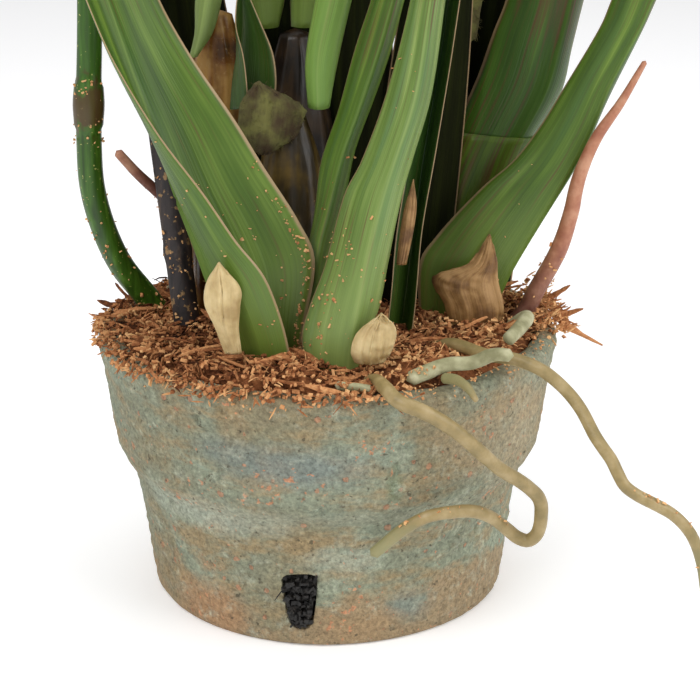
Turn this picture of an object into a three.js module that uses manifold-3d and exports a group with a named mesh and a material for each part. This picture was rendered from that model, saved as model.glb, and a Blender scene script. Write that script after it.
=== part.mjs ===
// A potted cymbidium orchid: a hand-thrown terracotta pot, black potting medium under a bed of
// coir, pseudobulbs, folded strap leaves, aerial roots, papery sheaths and one flower spike tied
// to a cane. Millimetres, +Z up. The pot's underside is at z = 0, centred on the origin, and the
// front of the plant faces -Y.

import * as THREE from 'three';
import { mergeVertices } from 'three/addons/utils/BufferGeometryUtils.js';
import Module from 'manifold-3d';

const wasm = await Module();
wasm.setup();

// ---- Driving dimensions ---------------------------------------------------------------------

const GAP = 0.4; // between pieces that touch
const RIM_TOP = 89;
const POT_FLOOR = 12;
const BED_FLOOR = 76; // the coir lies on the black medium here
const ROOTED = 84; // how deep the planted pieces reach into the coir
const BED_TOP = 94.5;

const LEAF_THICKNESS = 1.2;
const SHEATH_THICKNESS = 0.8;
const TIP_STEPS = 8; // stations along the free part of a leaf

const SPIKE_START = 196; // height where the spike leaves its curved foot
const SPIKE_LENGTH = 352;
const SPIKE_RADIUS = 4.1;
const CANE_RADIUS = 4.2;
const CANE_TOP = 345;

const FLOWER_COUNT = 8;
const FLOWER_FIRST = 322;
const FLOWER_PITCH = 26;
const FLOWER_RADIUS = 31;
const FLOWER_FAN = 62; // degrees between neighbouring flowers round the spike
const PEDICEL = 42;
const BUD_COUNT = 3;

const UP = new THREE.Vector3(0, 0, 1);
const radians = THREE.MathUtils.degToRad;
const v3 = ([x, y, z]) => new THREE.Vector3(x, y, z);

const plant = new THREE.Group();

// ---- Materials ------------------------------------------------------------------------------

const finish = (color, roughness) => new THREE.MeshStandardMaterial({ color, roughness, metalness: 0 });
const materials = {
  terracotta: finish(0x9a9377, 0.9),
  medium: finish(0x17130f, 0.95),
  coir: finish(0x8f5b3a, 0.95),
  bulb: finish(0x4f3415, 0.3),
  leaf: finish(0x4f7d33, 0.45),
  darkLeaf: finish(0x274d1c, 0.5),
  stem: finish(0x3f7d25, 0.4),
  cane: finish(0x2b211c, 0.7),
  raffia: finish(0xb99f6e, 0.85),
  root: finish(0xa08c5c, 0.55),
  paleRoot: finish(0xa3a88a, 0.8),
  pinkRoot: finish(0xb9765a, 0.6),
  papery: finish(0xcdb98d, 0.7),
  fibrous: finish(0x6f6a3c, 0.95),
  petal: finish(0xd9dfae, 0.5),
  bud: finish(0x9fb765, 0.5),
};

/** Adds one named piece to the plant. */
function add(name, geometry, material) {
  const mesh = new THREE.Mesh(geometry, material);
  mesh.name = name;
  plant.add(mesh);
  return mesh;
}

// ---- Solids ---------------------------------------------------------------------------------

/**
 * A closed skin through rings of equal count, drawn to a point beyond each end ring. A thin blade
 * folds over its margins: `under` is where its lower side starts, split to match the upper side.
 */
function loft(rings, startPoint, endPoint, under = rings[0].length) {
  const count = rings[0].length;
  const lastRing = rings.length - 1;
  const points = [startPoint, ...rings.flat(), endPoint];
  const endIndex = points.length - 1;
  const at = (ring, i) => 1 + ring * count + (i % count);
  const index = [];
  for (let i = 0; i < count; i++) {
    index.push(0, at(0, i + 1), at(0, i));
    for (let ring = 0; ring < lastRing; ring++) {
      const [near, nearNext] = [at(ring, i), at(ring, i + 1)];
      const [far, farNext] = [at(ring + 1, i), at(ring + 1, i + 1)];
      if (i < under) index.push(near, nearNext, far, nearNext, farNext, far);
      else index.push(near, nearNext, farNext, near, farNext, far);
    }
    index.push(endIndex, at(lastRing, i), at(lastRing, i + 1));
  }
  const geometry = new THREE.BufferGeometry().setFromPoints(points);
  geometry.setIndex(index);
  geometry.computeVertexNormals();
  return geometry;
}

/** A closed geometry as a manifold solid. */
function solid(geometry) {
  const bare = geometry.clone();
  bare.deleteAttribute('normal');
  bare.deleteAttribute('uv');
  const merged = mergeVertices(bare);
  return new wasm.Manifold(new wasm.Mesh({
    numProp: 3,
    vertProperties: new Float32Array(merged.attributes.position.array),
    triVerts: new Uint32Array(merged.index.array),
  }));
}

/** The largest body of a manifold solid, as a geometry. */
function geometryOf(body) {
  const largest = body.decompose().reduce((best, piece) => (piece.volume() > best.volume() ? piece : best));
  const mesh = largest.getMesh();
  const geometry = new THREE.BufferGeometry();
  geometry.setAttribute('position', new THREE.BufferAttribute(new Float32Array(mesh.vertProperties), 3));
  geometry.setIndex(Array.from(mesh.triVerts));
  geometry.computeVertexNormals();
  return geometry;
}

/** A round stem, root or stalk along a smooth curve; `radiusAt` gets the fraction along it. */
function stalk(points, radiusAt, { steps = 16, sides = 8, swell = 0 } = {}) {
  const curve = new THREE.CatmullRomCurve3(points, false, 'centripetal');
  const frames = curve.computeFrenetFrames(steps, false);
  const rings = [];
  for (let k = 0; k <= steps; k++) {
    const centre = curve.getPointAt(k / steps);
    const radius = radiusAt(k / steps) + swell;
    const ring = [];
    for (let i = 0; i < sides; i++) {
      const angle = (2 * Math.PI * i) / sides;
      ring.push(centre.clone()
        .addScaledVector(frames.normals[k], radius * Math.cos(angle))
        .addScaledVector(frames.binormals[k], radius * Math.sin(angle)));
    }
    rings.push(ring);
  }
  const endDepth = (k) => 0.5 * radiusAt(k / steps) + swell;
  const startPoint = curve.getPointAt(0).addScaledVector(frames.tangents[0], -endDepth(0));
  const endPoint = curve.getPointAt(1).addScaledVector(frames.tangents[steps], endDepth(steps));
  return loft(rings, startPoint, endPoint);
}

/** Eight points round a folded blade: left margin, over the top to the right margin, and back. */
function bladeRing([left, fold, right], travel, half, swell) {
  const leftNormal = fold.clone().sub(left).cross(travel).normalize();
  const rightNormal = right.clone().sub(fold).cross(travel).normalize();
  const foldNormal = leftNormal.clone().add(rightNormal).normalize();
  const middle = (a, b, normal, depth) => a.clone().lerp(b, 0.5).addScaledVector(normal, depth);
  const margin = (edge) => edge.clone().add(edge.clone().sub(fold).setLength(swell));
  return [
    margin(left),
    middle(left, fold, leftNormal, half),
    fold.clone().addScaledVector(foldNormal, 1.2 * half),
    middle(fold, right, rightNormal, half),
    margin(right),
    middle(fold, right, rightNormal, -half),
    fold.clone().addScaledVector(foldNormal, -1.2 * half),
    middle(left, fold, leftNormal, -half),
  ];
}

/** A folded blade through rows of [left margin, fold, right margin], ending in a point. */
function blade({ rows, tip, thickness = LEAF_THICKNESS, thinning = () => 1 }, swell = 0) {
  const folds = [...rows.map((row) => row[1]), tip];
  const rings = rows.map((row, i) => {
    const travel = folds[i + 1].clone().sub(folds[Math.max(i - 1, 0)]).normalize();
    const lowered = i === 0 ? row.map((point) => point.clone().addScaledVector(travel, -swell)) : row;
    return bladeRing(lowered, travel, (thickness * thinning(i)) / 2 + swell, swell);
  });
  const startTravel = folds[1].clone().sub(folds[0]).normalize();
  const endTravel = tip.clone().sub(folds.at(-2)).normalize();
  const startPoint = folds[0].clone().addScaledVector(startTravel, -0.6 - swell);
  return loft(rings, startPoint, tip.clone().addScaledVector(endTravel, swell), rings[0].length / 2);
}

/** Carries a blade on past its last row: it arches towards `heading` degrees and narrows to a tip. */
function arch(rows, { reach, bend, heading }) {
  const [left, fold, right] = rows.at(-1);
  const travel = fold.clone().sub(rows.at(-2)[1]).normalize();
  const toLeft = left.clone().sub(fold);
  const toRight = right.clone().sub(fold);
  const outward = new THREE.Vector3(Math.cos(radians(heading)), Math.sin(radians(heading)), 0);
  const hinge = UP.clone().cross(outward);
  const grown = [...rows];
  const spot = fold.clone();
  for (let k = 1; k <= TIP_STEPS; k++) {
    const along = k / TIP_STEPS;
    const turn = (radians(bend) * (2 * k - 1)) / TIP_STEPS ** 2;
    [travel, toLeft, toRight].forEach((arrow) => arrow.applyAxisAngle(hinge, turn));
    spot.addScaledVector(travel, reach / TIP_STEPS);
    const width = (1 - along ** 2.4) ** 0.9;
    if (k < TIP_STEPS) {
      grown.push([
        spot.clone().addScaledVector(toLeft, width),
        spot.clone(),
        spot.clone().addScaledVector(toRight, width),
      ]);
    }
  }
  return { rows: grown, tip: spot, thinning: (i) => (i < rows.length ? 1 : 1 - 0.09 * (i - rows.length + 1)) };
}

/** A whole leaf from its measured lower rows and the way it arches above them. */
const leaf = ({ rows, reach, bend, heading }) => arch(rows.map((row) => row.map(v3)), { reach, bend, heading });

// Every planted piece, as a function of how much its skin swells. The coir is cut by these.
const planted = [];

/** Adds a piece that stands in or lies on the coir. */
function plantPiece(name, shape, material) {
  planted.push(shape);
  return add(name, shape(0), material);
}

// ---- Pot ------------------------------------------------------------------------------------
// Hand-thrown, with a deep collar that steps in softly to a tapered foot, and three drain slots
// low in the side wall.

const POT_SEGMENTS = 36;
const potProfile = [
  [0, 0], [57, 0], [58.7, 1.5], [60.7, 16], [62, 28], [63.8, 39], [64.6, 43], [66.2, 46.5],
  [68.8, 50.5], [70.4, 56], [71.5, 64], [73.3, 78], [74.9, 86], [74.4, 88.3], [73, RIM_TOP],
  [68.6, RIM_TOP], [67.3, 88], [66.6, 84], [64, 60], [58, 46], [55, POT_FLOOR + 2],
  [53, POT_FLOOR], [0, POT_FLOOR],
];
const SLOT_HEADINGS = [-98, 22, 142];
const SLOT_FOOT = 6.6;
const SLOT_HEAD = 26;

/** A revolved solid from a list of [radius, height]. */
function lathe(profile, segments) {
  const geometry = new THREE.LatheGeometry(profile.map(([r, z]) => new THREE.Vector2(r, z)), segments);
  return geometry.rotateX(Math.PI / 2);
}

/** A drain slot's bar, narrowing downwards, from one radius to another, drawn in by `inset`. */
function slotBar(heading, from, to, inset) {
  const top = SLOT_HEAD - inset;
  const foot = SLOT_FOOT + inset;
  const outline = new THREE.Shape([
    new THREE.Vector2(-5.4 + inset, top - 1.5),
    new THREE.Vector2(-3.2 + inset, foot + 2),
    new THREE.Vector2(-1.2 + inset, foot),
    new THREE.Vector2(2.2 - inset, foot),
    new THREE.Vector2(4.2 - inset, foot + 4),
    new THREE.Vector2(5.8 - inset, top - 1),
    new THREE.Vector2(4.2 - inset, top),
    new THREE.Vector2(-3.8 + inset, top),
  ]);
  const bar = new THREE.ExtrudeGeometry(outline, { depth: to - from, bevelEnabled: false });
  bar.rotateX(Math.PI / 2).translate(0, -from, 0);
  return bar.rotateZ(radians(heading + 90));
}

const potWall = SLOT_HEADINGS.reduce(
  (wall, heading) => wall.subtract(solid(slotBar(heading, 50, 70, 0))),
  solid(lathe(potProfile, POT_SEGMENTS)),
);
add('pot', geometryOf(potWall), materials.terracotta);

// ---- Growing medium -------------------------------------------------------------------------
// Black bark and soil that fills the pot and shows in the drain slots.

const mediumProfile = [
  [0, POT_FLOOR + GAP], [52.4, POT_FLOOR + GAP], [54.2, POT_FLOOR + 2.5], [57.4, 46.3],
  [63.2, 60.2], [64.8, BED_FLOOR - GAP], [0, BED_FLOOR - GAP],
];
const mediumBody = SLOT_HEADINGS.reduce(
  (body, heading) => body.add(solid(slotBar(heading, 50.5, 58.2, GAP))),
  solid(lathe(mediumProfile, POT_SEGMENTS)),
);
add('growing_medium', geometryOf(mediumBody), materials.medium);

// ---- Pseudobulbs ----------------------------------------------------------------------------
// Swollen glossy stems, narrowing to a neck.

const bulbs = [
  { name: 'pseudobulb_front', at: [-11, -17], radius: 12.5, top: 163 },
  { name: 'pseudobulb_middle', at: [-10, 10.5], radius: 13, top: 184 },
  { name: 'pseudobulb_left', at: [-34, 0], radius: 12, top: 192 },
  { name: 'pseudobulb_right', at: [36, 37], radius: 13, top: 186 },
  { name: 'pseudobulb_rear', at: [9, 38], radius: 13, top: 178 },
];
const bulbProfile = [
  [0, 0], [0.72, 0.01], [0.9, 0.12], [1, 0.32], [0.99, 0.5], [0.9, 0.68], [0.7, 0.83], [0.5, 0.93],
  [0.38, 0.985], [0, 1],
];
for (const { name, at: [x, y], radius, top } of bulbs) {
  const shape = (swell) => {
    const height = top - ROOTED;
    const profile = bulbProfile.map(([r, z]) => [
      r > 0 ? r * radius + swell : 0,
      z * (height + 2 * swell) - swell,
    ]);
    return lathe(profile, 14).translate(x, y, ROOTED);
  };
  plantPiece(name, shape, materials.bulb);
}

// ---- Leaves ---------------------------------------------------------------------------------
// Long strap leaves folded along the middle. Rows run from the base up, each with the left
// margin, the fold and the right margin; reach and bend carry the free part to its tip.

const leaves = {
  leaf_front_left: {
    rows: [
      [[-12, -50, 84], [-24, -44, 84], [-9, -42, 84]],
      [[-11, -53, 98], [-28, -46, 99], [-7, -43, 99]],
      [[-17, -56, 120], [-34, -51, 114], [-3, -43, 122]],
      [[-26, -57, 133], [-39, -48, 128], [-8, -42, 135]],
      [[-35, -57, 147], [-44, -47, 142], [-18, -41, 151]],
      [[-48, -57, 165], [-50, -46, 161], [-27, -40, 166]],
      [[-60, -57, 186], [-57, -46, 182], [-40, -37, 185]],
      [[-67, -57, 204], [-63, -46, 201], [-49, -35, 202]],
    ],
    reach: 270, bend: 62, heading: 188,
  },
  leaf_inner: {
    rows: [
      [[-6, -35, 84], [-5, -39, 84], [-2, -36, 84]],
      [[-7, -34, 104], [-4, -40, 104], [-1, -36, 104]],
      [[-6, -34, 120], [-2, -41, 124], [2, -36, 123]],
      [[-3, -33, 136], [2, -41, 140], [6, -34, 139]],
      [[-1, -32, 151], [6, -40, 155], [9, -32, 154]],
      [[4, -30, 166], [11, -39, 169], [14, -30, 168]],
      [[9, -28, 184], [17, -37, 187], [20, -28, 185]],
      [[14, -26, 199], [21, -35, 201], [24, -26, 200]],
    ],
    reach: 215, bend: 34, heading: -28,
  },
  leaf_front: {
    rows: [
      [[-5, -49, 84], [7, -55, 84], [10, -46, 84]],
      [[-7, -50, 100], [8, -58, 99], [12, -48, 104]],
      [[-5, -50, 109], [10, -59, 110], [16, -47, 108]],
      [[0, -50, 123], [13, -59, 125], [19, -46, 123]],
      [[6, -49, 145], [18, -58, 146], [23, -46, 144]],
      [[11, -49, 155], [21, -57, 156], [26, -46, 155]],
      [[18, -49, 175], [27, -56, 176], [31, -46, 174]],
      [[25, -48, 202], [31, -54, 203], [35, -46, 202]],
    ],
    reach: 250, bend: 58, heading: -70,
  },
  leaf_right_rear: {
    rows: [
      [[31, 19, 84], [45, 13, 84], [46, 25, 84]],
      [[31, 20, 108], [50, 14, 105], [52, 26, 107]],
      [[33, 20, 130], [57, 14, 125], [59, 26, 126]],
      [[40, 20, 145], [63, 14, 144], [67, 26, 143]],
      [[49, 20, 166], [72, 14, 163], [77, 26, 160]],
      [[54, 20, 181], [76, 14, 179], [80, 26, 176]],
      [[58, 20, 192], [79, 14, 193], [83, 26, 190]],
    ],
    reach: 250, bend: 52, heading: 28,
  },
  leaf_right: {
    rows: [
      [[31, -3, 84], [50, -5, 84], [40, 10, 84]],
      [[30, -2, 108], [56, -4, 96], [42, 11, 101]],
      [[35, -2, 118], [61, -5, 108], [46, 9, 109]],
      [[50, -2, 135], [73, -6, 130], [58, 8, 127]],
      [[60, -2, 144], [80, -6, 143], [67, 8, 138]],
      [[68, -2, 155], [85, -6, 155], [75, 7, 150]],
      [[76, -2, 169], [90, -6, 169], [83, 7, 163]],
      [[86, -2, 187], [99, -6, 188], [91, 8, 183]],
      [[89, -2, 195], [102, -6, 196], [95, 8, 191]],
    ],
    reach: 235, bend: 62, heading: -8,
  },
  leaf_dark: {
    rows: [
      [[18, -27, 84], [23, -18, 84], [26, -25, 84]],
      [[20, -27, 102], [25, -17, 100], [28, -24, 100]],
      [[22, -26, 125], [28, -15, 125], [30, -22, 125]],
      [[26, -25, 150], [31, -13, 150], [34, -19, 150]],
      [[30, -24, 175], [35, -12, 175], [38, -18, 175]],
      [[32, -23, 198], [38, -11, 198], [41, -17, 198]],
    ],
    reach: 175, bend: 40, heading: 6,
  },
  leaf_cut: {
    rows: [
      [[-5, -14, 164.5], [-2, -19, 164], [1, -14, 164.5]],
      [[-6, -13, 178], [-2, -18, 179], [4, -13, 178]],
      [[-3, -11, 196], [2, -17, 197], [8, -11, 196]],
    ],
    reach: 190, bend: 38, heading: 30,
  },
  leaf_left_inner: {
    rows: [
      [[-42, -10.5, 179], [-40.5, -12, 179], [-39.5, -10.5, 180]],
      [[-40, -9, 186], [-38, -14, 187], [-35, -9, 186]],
      [[-40, -8, 196], [-36, -14, 197], [-32, -8, 196]],
    ],
    reach: 185, bend: 45, heading: -112,
  },
  leaf_left_rear: {
    rows: [
      [[-50, 15, 84], [-44, 11, 84], [-40, 18, 84]],
      [[-53, 17, 120], [-46, 12, 120], [-41, 18, 120]],
      [[-57, 18, 173], [-48, 11, 177], [-42, 18, 179]],
      [[-55, 20, 192], [-48, 13, 193], [-41, 20, 192]],
    ],
    reach: 215, bend: 58, heading: 150,
  },
  leaf_middle_left: {
    rows: [
      [[-24, 5, 185.5], [-19, 2, 185.5], [-15, 6, 185.5]],
      [[-26, 6, 196], [-20, 1, 196], [-13, 7, 196]],
    ],
    reach: 195, bend: 42, heading: 118,
  },
  leaf_middle_right: {
    rows: [
      [[-11, 6, 185.5], [-7, 3, 185.5], [-3, 7, 185.5]],
      [[-11, 8, 196], [-6, 3, 196], [0, 9, 196]],
    ],
    reach: 205, bend: 40, heading: 62,
  },
  leaf_back_1: {
    rows: [
      [[-22, 36, 84], [-15, 41, 84], [-8, 37, 84]],
      [[-24, 37, 120], [-16, 44, 120], [-7, 38, 120]],
    ],
    reach: 300, bend: 78, heading: 104,
  },
  leaf_back_2: {
    rows: [
      [[20, 52, 84], [27, 57, 84], [33, 54, 84]],
      [[20, 53, 120], [29, 60, 120], [36, 54, 120]],
    ],
    reach: 290, bend: 74, heading: 72,
  },
  leaf_back_3: {
    rows: [
      [[-45, 30, 84], [-40, 36, 84], [-33, 38, 84]],
      [[-47, 31, 120], [-43, 39, 120], [-33, 40, 120]],
    ],
    reach: 290, bend: 76, heading: 140,
  },
  leaf_back_4: {
    rows: [
      [[33, 34, 187.5], [39, 39, 187.5], [44, 32, 187.5]],
      [[33, 36, 200], [41, 42, 200], [46, 33, 200]],
    ],
    reach: 185, bend: 50, heading: 46,
  },
  leaf_back_5: {
    rows: [
      [[3, 36, 179.5], [9, 41, 179.5], [15, 36, 179.5]],
      [[2, 38, 195], [9, 44, 195], [17, 38, 195]],
    ],
    reach: 215, bend: 42, heading: 88,
  },
};
for (const [name, spec] of Object.entries(leaves)) {
  const shape = (swell) => blade(leaf(spec), swell);
  const shaded = /rear|dark|middle|back/.test(name);
  plantPiece(name, shape, shaded ? materials.darkLeaf : materials.leaf);
}

// ---- Torn leaf, papery bracts and fibrous sheaths --------------------------------------------
// Short blades with their own tips: remnants at the bulbs' necks and the leaves' feet.

const remnants = {
  leaf_torn: {
    rows: [
      [[-23.5, -23.5, 165.5], [-29, -18, 164], [-15.5, -18.5, 166.5]],
      [[-24, -23.7, 174], [-28, -15.5, 173], [-15, -18.5, 174]],
      [[-25, -23.5, 182], [-26.5, -14, 181], [-16, -19.5, 182]],
      [[-27, -22, 191], [-25, -15, 190], [-19.5, -19.5, 191]],
    ],
    tip: [-25.5, -18, 205], material: 'leaf',
  },
  bract_left: {
    rows: [
      [[-30, -57, 98], [-27, -58, 98], [-25, -57, 98]],
      [[-33, -58, 107], [-29, -61, 106], [-25.5, -58, 106]],
      [[-36, -58, 114], [-30, -62, 114], [-25, -58, 113]],
      [[-35, -58, 121], [-30, -61, 121], [-25, -58, 119]],
    ],
    tip: [-31, -59, 127], material: 'papery',
  },
  bract_front: {
    rows: [
      [[9, -59, 95.5], [14, -60.5, 95.5], [18, -58, 95.5]],
      [[8, -61, 100], [14, -64, 99], [20, -60, 101]],
      [[10, -61, 106], [15, -64, 106], [20.5, -60, 107]],
    ],
    tip: [17, -62, 112], material: 'papery',
  },
  sheath_right: {
    rows: [
      [[40, -13, 88], [47, -15, 88], [55, -14, 88]],
      [[38, -14, 99], [47, -17, 98], [57, -15, 98]],
      [[34, -13, 108], [45, -16, 107], [55, -14, 108]],
      [[45, -14, 113], [50, -15, 113], [54.5, -14, 115]],
    ],
    tip: [52, -14.5, 123], material: 'papery',
  },
  sheath_strip: {
    rows: [
      [[22, -31, 118], [23.5, -32, 118], [25, -31, 118]],
      [[23, -31, 128], [25, -32, 128], [27, -31, 128]],
      [[24.5, -31, 137], [26, -32, 137], [28, -31, 137]],
    ],
    tip: [27, -31, 145], material: 'papery',
  },
  fibrous_sheath: {
    rows: [
      [[-22, -26, 153], [-19, -27.5, 152], [-15, -26, 153]],
      [[-26, -25, 159], [-17, -29, 156], [-9, -25, 157]],
      [[-26, -24, 164], [-16, -28.5, 163], [-6.5, -24, 162]],
      [[-25, -24, 168], [-16, -27.5, 169], [-6.5, -23.5, 166]],
    ],
    tip: [-20, -25.5, 174], material: 'fibrous',
  },
  fibrous_collar: {
    rows: [
      [[30, 24, 178], [38, 20.5, 176], [49, 25, 178]],
      [[29, 25, 186], [38, 21, 186], [50, 25, 186]],
      [[30, 26, 194], [39, 21.5, 194], [50, 26, 194]],
    ],
    tip: [40, 22, 200], material: 'fibrous',
  },
};
for (const [name, { rows, tip, material }] of Object.entries(remnants)) {
  const spec = { rows: rows.map((row) => row.map(v3)), tip: v3(tip), thickness: SHEATH_THICKNESS };
  plantPiece(name, (swell) => blade(spec, swell), materials[material]);
}

// ---- Flower spike, cane and ties ------------------------------------------------------------

const spikeFoot = [
  [-52, 6, ROOTED], [-56, 6, 90], [-61, 4, 98], [-67, 0, 108], [-71, -3, 119], [-74, -5, 129],
  [-75, -6, 140], [-75, -6, 158], [-74, -6, 176],
].map(v3);

/** The spike's axis above its foot, arching gently to the left and front. */
function spikeAt(height) {
  const t = (height - SPIKE_START) / SPIKE_LENGTH;
  return new THREE.Vector3(-73 - 34 * t ** 3, -6 + 40 * t * (1 - t) - 18 * t ** 3, height);
}

const spikePoints = [...spikeFoot];
for (let k = 0; k <= 8; k++) spikePoints.push(spikeAt(SPIKE_START + (SPIKE_LENGTH * k) / 8));
const spikeTaper = (along) => SPIKE_RADIUS * (1 - 0.48 * along ** 1.5);
plantPiece('flower_spike', (swell) => stalk(spikePoints, spikeTaper, { steps: 32, swell }), materials.stem);

/** The cane's axis: a straight stick that leans to the spike. */
const caneAt = (height) => new THREE.Vector3(
  -44.5 - 0.114 * (height - 93),
  -17.5 + 0.12 * (height - 93),
  height,
);
const canePoints = [ROOTED, 170, 260, CANE_TOP].map(caneAt);
plantPiece('support_cane', (swell) => stalk(canePoints, () => CANE_RADIUS, { steps: 12, swell }), materials.cane);

/** A raffia loop round the spike and the cane at one height. */
function tieLoop(height) {
  const spike = spikeAt(height);
  const cane = caneAt(height);
  const apart = Math.hypot(cane.x - spike.x, cane.y - spike.y);
  const oval = (Path, radius) => new Path()
    .absarc(apart / 2, 0, radius, -Math.PI / 2, Math.PI / 2)
    .absarc(-apart / 2, 0, radius, Math.PI / 2, 1.5 * Math.PI);
  const inner = CANE_RADIUS + 0.9;
  const shape = oval(THREE.Shape, inner + 1.2);
  shape.holes.push(oval(THREE.Path, inner));
  const band = new THREE.ExtrudeGeometry(shape, { depth: 4, bevelEnabled: false, curveSegments: 8 });
  return { band, turn: Math.atan2(cane.y - spike.y, cane.x - spike.x), centre: spike.add(cane).divideScalar(2) };
}
for (const [name, height] of [['tie_lower', 258], ['tie_upper', 306]]) {
  const { band, turn, centre } = tieLoop(height);
  const tie = add(name, band, materials.raffia);
  tie.position.copy(centre);
  tie.rotation.z = turn;
}

// ---- Aerial roots ---------------------------------------------------------------------------
// Routes from the base of the plant outwards. Two hang free of the pot; the rest lie on the coir.

const roots = {
  root_hanging: {
    route: [
      [30, -30, 87], [38, -36, 93.5], [50, -48, 94], [57, -54, 95], [65, -58, 93], [71, -61, 89],
      [76, -65, 84], [81, -72, 76], [85, -76, 71], [89, -79.5, 64], [96, -80, 59.5], [103, -80, 55.5],
      [109, -80, 49], [113, -80, 39], [115, -80, 28],
    ],
    radius: 2, taper: 0.15, steps: 32, material: 'root',
  },
  root_looping: {
    route: [
      [13, -57, 88.5], [15.5, -65, 91.8], [18, -72, 92.2], [22, -79, 90.5], [28, -80.5, 88.5],
      [34, -80, 85], [39, -79, 81], [45, -77, 75], [52, -72.5, 67], [60, -68, 60], [65.5, -64.5, 53],
      [66, -64, 47], [65, -63, 41], [61.5, -61.5, 38], [57, -61, 41], [51, -64, 47], [45, -67, 50.5],
      [38, -69, 51], [31, -70, 50], [24, -69, 45.5], [15, -68, 37],
    ],
    radius: 2.2, taper: 0.15, steps: 44, material: 'root',
  },
  root_pink: {
    route: [
      [58, -7, ROOTED], [61, -6, 90], [65, -6, 95], [68, -7, 102], [71, -7.5, 108], [75, -8.5, 117],
      [78, -10, 129], [80, -10, 140], [85, -10, 153], [92, -10, 164], [99, -10, 177],
    ],
    radius: 3, taper: 0.72, steps: 20, material: 'pinkRoot',
  },
  root_tip_left: {
    route: [[-48, -3, 126], [-51, -4.5, 131], [-55, -7, 136], [-60, -10, 142], [-65, -13, 149]],
    radius: 1.8, taper: 0.2, steps: 8, material: 'pinkRoot',
  },
  root_pale_thick: {
    route: [[26, -63, 92], [31, -61, 93.5], [37, -59, 95], [44, -57.5, 95], [51, -60, 98.5], [55, -62, 99]],
    radius: 2.3, taper: 0.1, steps: 10, material: 'paleRoot',
  },
  root_pale_small: {
    route: [[4, -67, 91.2], [9, -68.5, 91.3], [13.5, -70, 91.4]],
    radius: 1.3, taper: 0.2, steps: 6, material: 'paleRoot',
  },
  root_pale_right: {
    route: [[60, -12, 91], [64, -20, 97], [61, -30, 97], [57, -38, 96]],
    radius: 2.4, taper: 0.1, steps: 8, material: 'paleRoot',
  },
  root_stub: {
    route: [[36, -63, 92], [39, -67, 93], [42, -72, 92.6], [44.5, -77, 90.3]],
    radius: 1.6, taper: 0.5, steps: 8, material: 'root',
  },
};
for (const [name, { route, radius, taper, steps, material }] of Object.entries(roots)) {
  const thickness = (along) => radius * (1 - taper * along ** 2);
  const shape = (swell) => stalk(route.map(v3), thickness, { steps, sides: 7, swell });
  plantPiece(name, shape, materials[material]);
}

// ---- Coir bed -------------------------------------------------------------------------------
// A heaped bed of coconut chips that spills onto the rim. Everything planted in it has its hole.

const BED_SEGMENTS = 28;
const bedRings = [
  { radius: 18, height: BED_TOP, lump: 1.2 },
  { radius: 38, height: BED_TOP - 0.4, lump: 1.4 },
  { radius: 54, height: BED_TOP - 0.8, lump: 1.3 },
  { radius: 64, height: BED_TOP - 1.6, lump: 1.1 },
  { radius: 70, height: BED_TOP - 3.2, lump: 0.7 },
  { radius: 71, height: RIM_TOP + GAP, lump: 0 },
  { radius: 66.6, height: RIM_TOP + GAP, lump: 0 },
  { radius: 66, height: 83, lump: 0 },
  { radius: 64.8, height: BED_FLOOR, lump: 0 },
];

/** The lie of the chips: a few waves round and across the bed. */
const bedLump = (angle, radius) =>
  Math.sin(3 * angle + radius / 9) + 0.6 * Math.sin(7 * angle - radius / 6) * Math.cos(radius / 11);

const bedSkin = bedRings.map(({ radius, height, lump }) => {
  const ring = [];
  for (let i = 0; i < BED_SEGMENTS; i++) {
    const angle = (2 * Math.PI * i) / BED_SEGMENTS;
    const lift = lump * bedLump(angle, radius);
    ring.push(new THREE.Vector3(radius * Math.cos(angle), radius * Math.sin(angle), height + lift));
  }
  return ring;
}).reverse();
const bedHeap = loft(bedSkin, new THREE.Vector3(0, 0, BED_FLOOR), new THREE.Vector3(0, 0, BED_TOP + 0.5));
const bedBody = planted.reduce((bed, shape) => bed.subtract(solid(shape(GAP))), solid(bedHeap));
add('coir_bed', geometryOf(bedBody), materials.coir);

// ---- Flowers and buds -----------------------------------------------------------------------
// Each flower is one piece with its stalk: three sepals, two petals, a lip and the column. It is
// drawn facing +X with its stalk starting beside the spike, and then turned round the spike.

/** A flat petal that starts at the flower's centre and points `angle` degrees round it. */
function petal({ angle, length, width, cup, lean = 0 }) {
  const across = new THREE.Vector3(0, -Math.sin(radians(angle)), Math.cos(radians(angle)));
  const out = new THREE.Vector3(0, Math.cos(radians(angle)), Math.sin(radians(angle)));
  const ahead = new THREE.Vector3(1, 0, 0);
  const sections = [[0.08, 0.3], [0.45, 1], [0.82, 0.75]];
  const spot = (along) => out.clone().multiplyScalar(along * length)
    .addScaledVector(ahead, cup * along ** 2 + lean * along);
  const rings = sections.map(([along, wide]) => {
    const centre = spot(along);
    const half = (wide * width) / 2;
    return [
      centre.clone().addScaledVector(across, half).addScaledVector(ahead, 0.12 * half),
      centre.clone().addScaledVector(ahead, 0.7),
      centre.clone().addScaledVector(across, -half).addScaledVector(ahead, 0.12 * half),
      centre.clone().addScaledVector(ahead, -0.7),
    ];
  });
  return loft(rings, spot(0), spot(1));
}

const R = FLOWER_RADIUS;
const flowerParts = [
  petal({ angle: 90, length: R, width: 17, cup: 6 }),
  petal({ angle: 205, length: R, width: 16, cup: 4 }),
  petal({ angle: 335, length: R, width: 16, cup: 4 }),
  petal({ angle: 150, length: 0.92 * R, width: 16, cup: 9 }),
  petal({ angle: 30, length: 0.92 * R, width: 16, cup: 9 }),
  petal({ angle: 270, length: 0.42 * R, width: 15, cup: 2, lean: 12 }),
  new THREE.SphereGeometry(3.6, 6, 4),
  stalk([[1, 0, 1.5], [8, 0, 4.5], [12, 0, 2]].map(v3), () => 2.2, { steps: 3, sides: 5 }),
];

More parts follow.
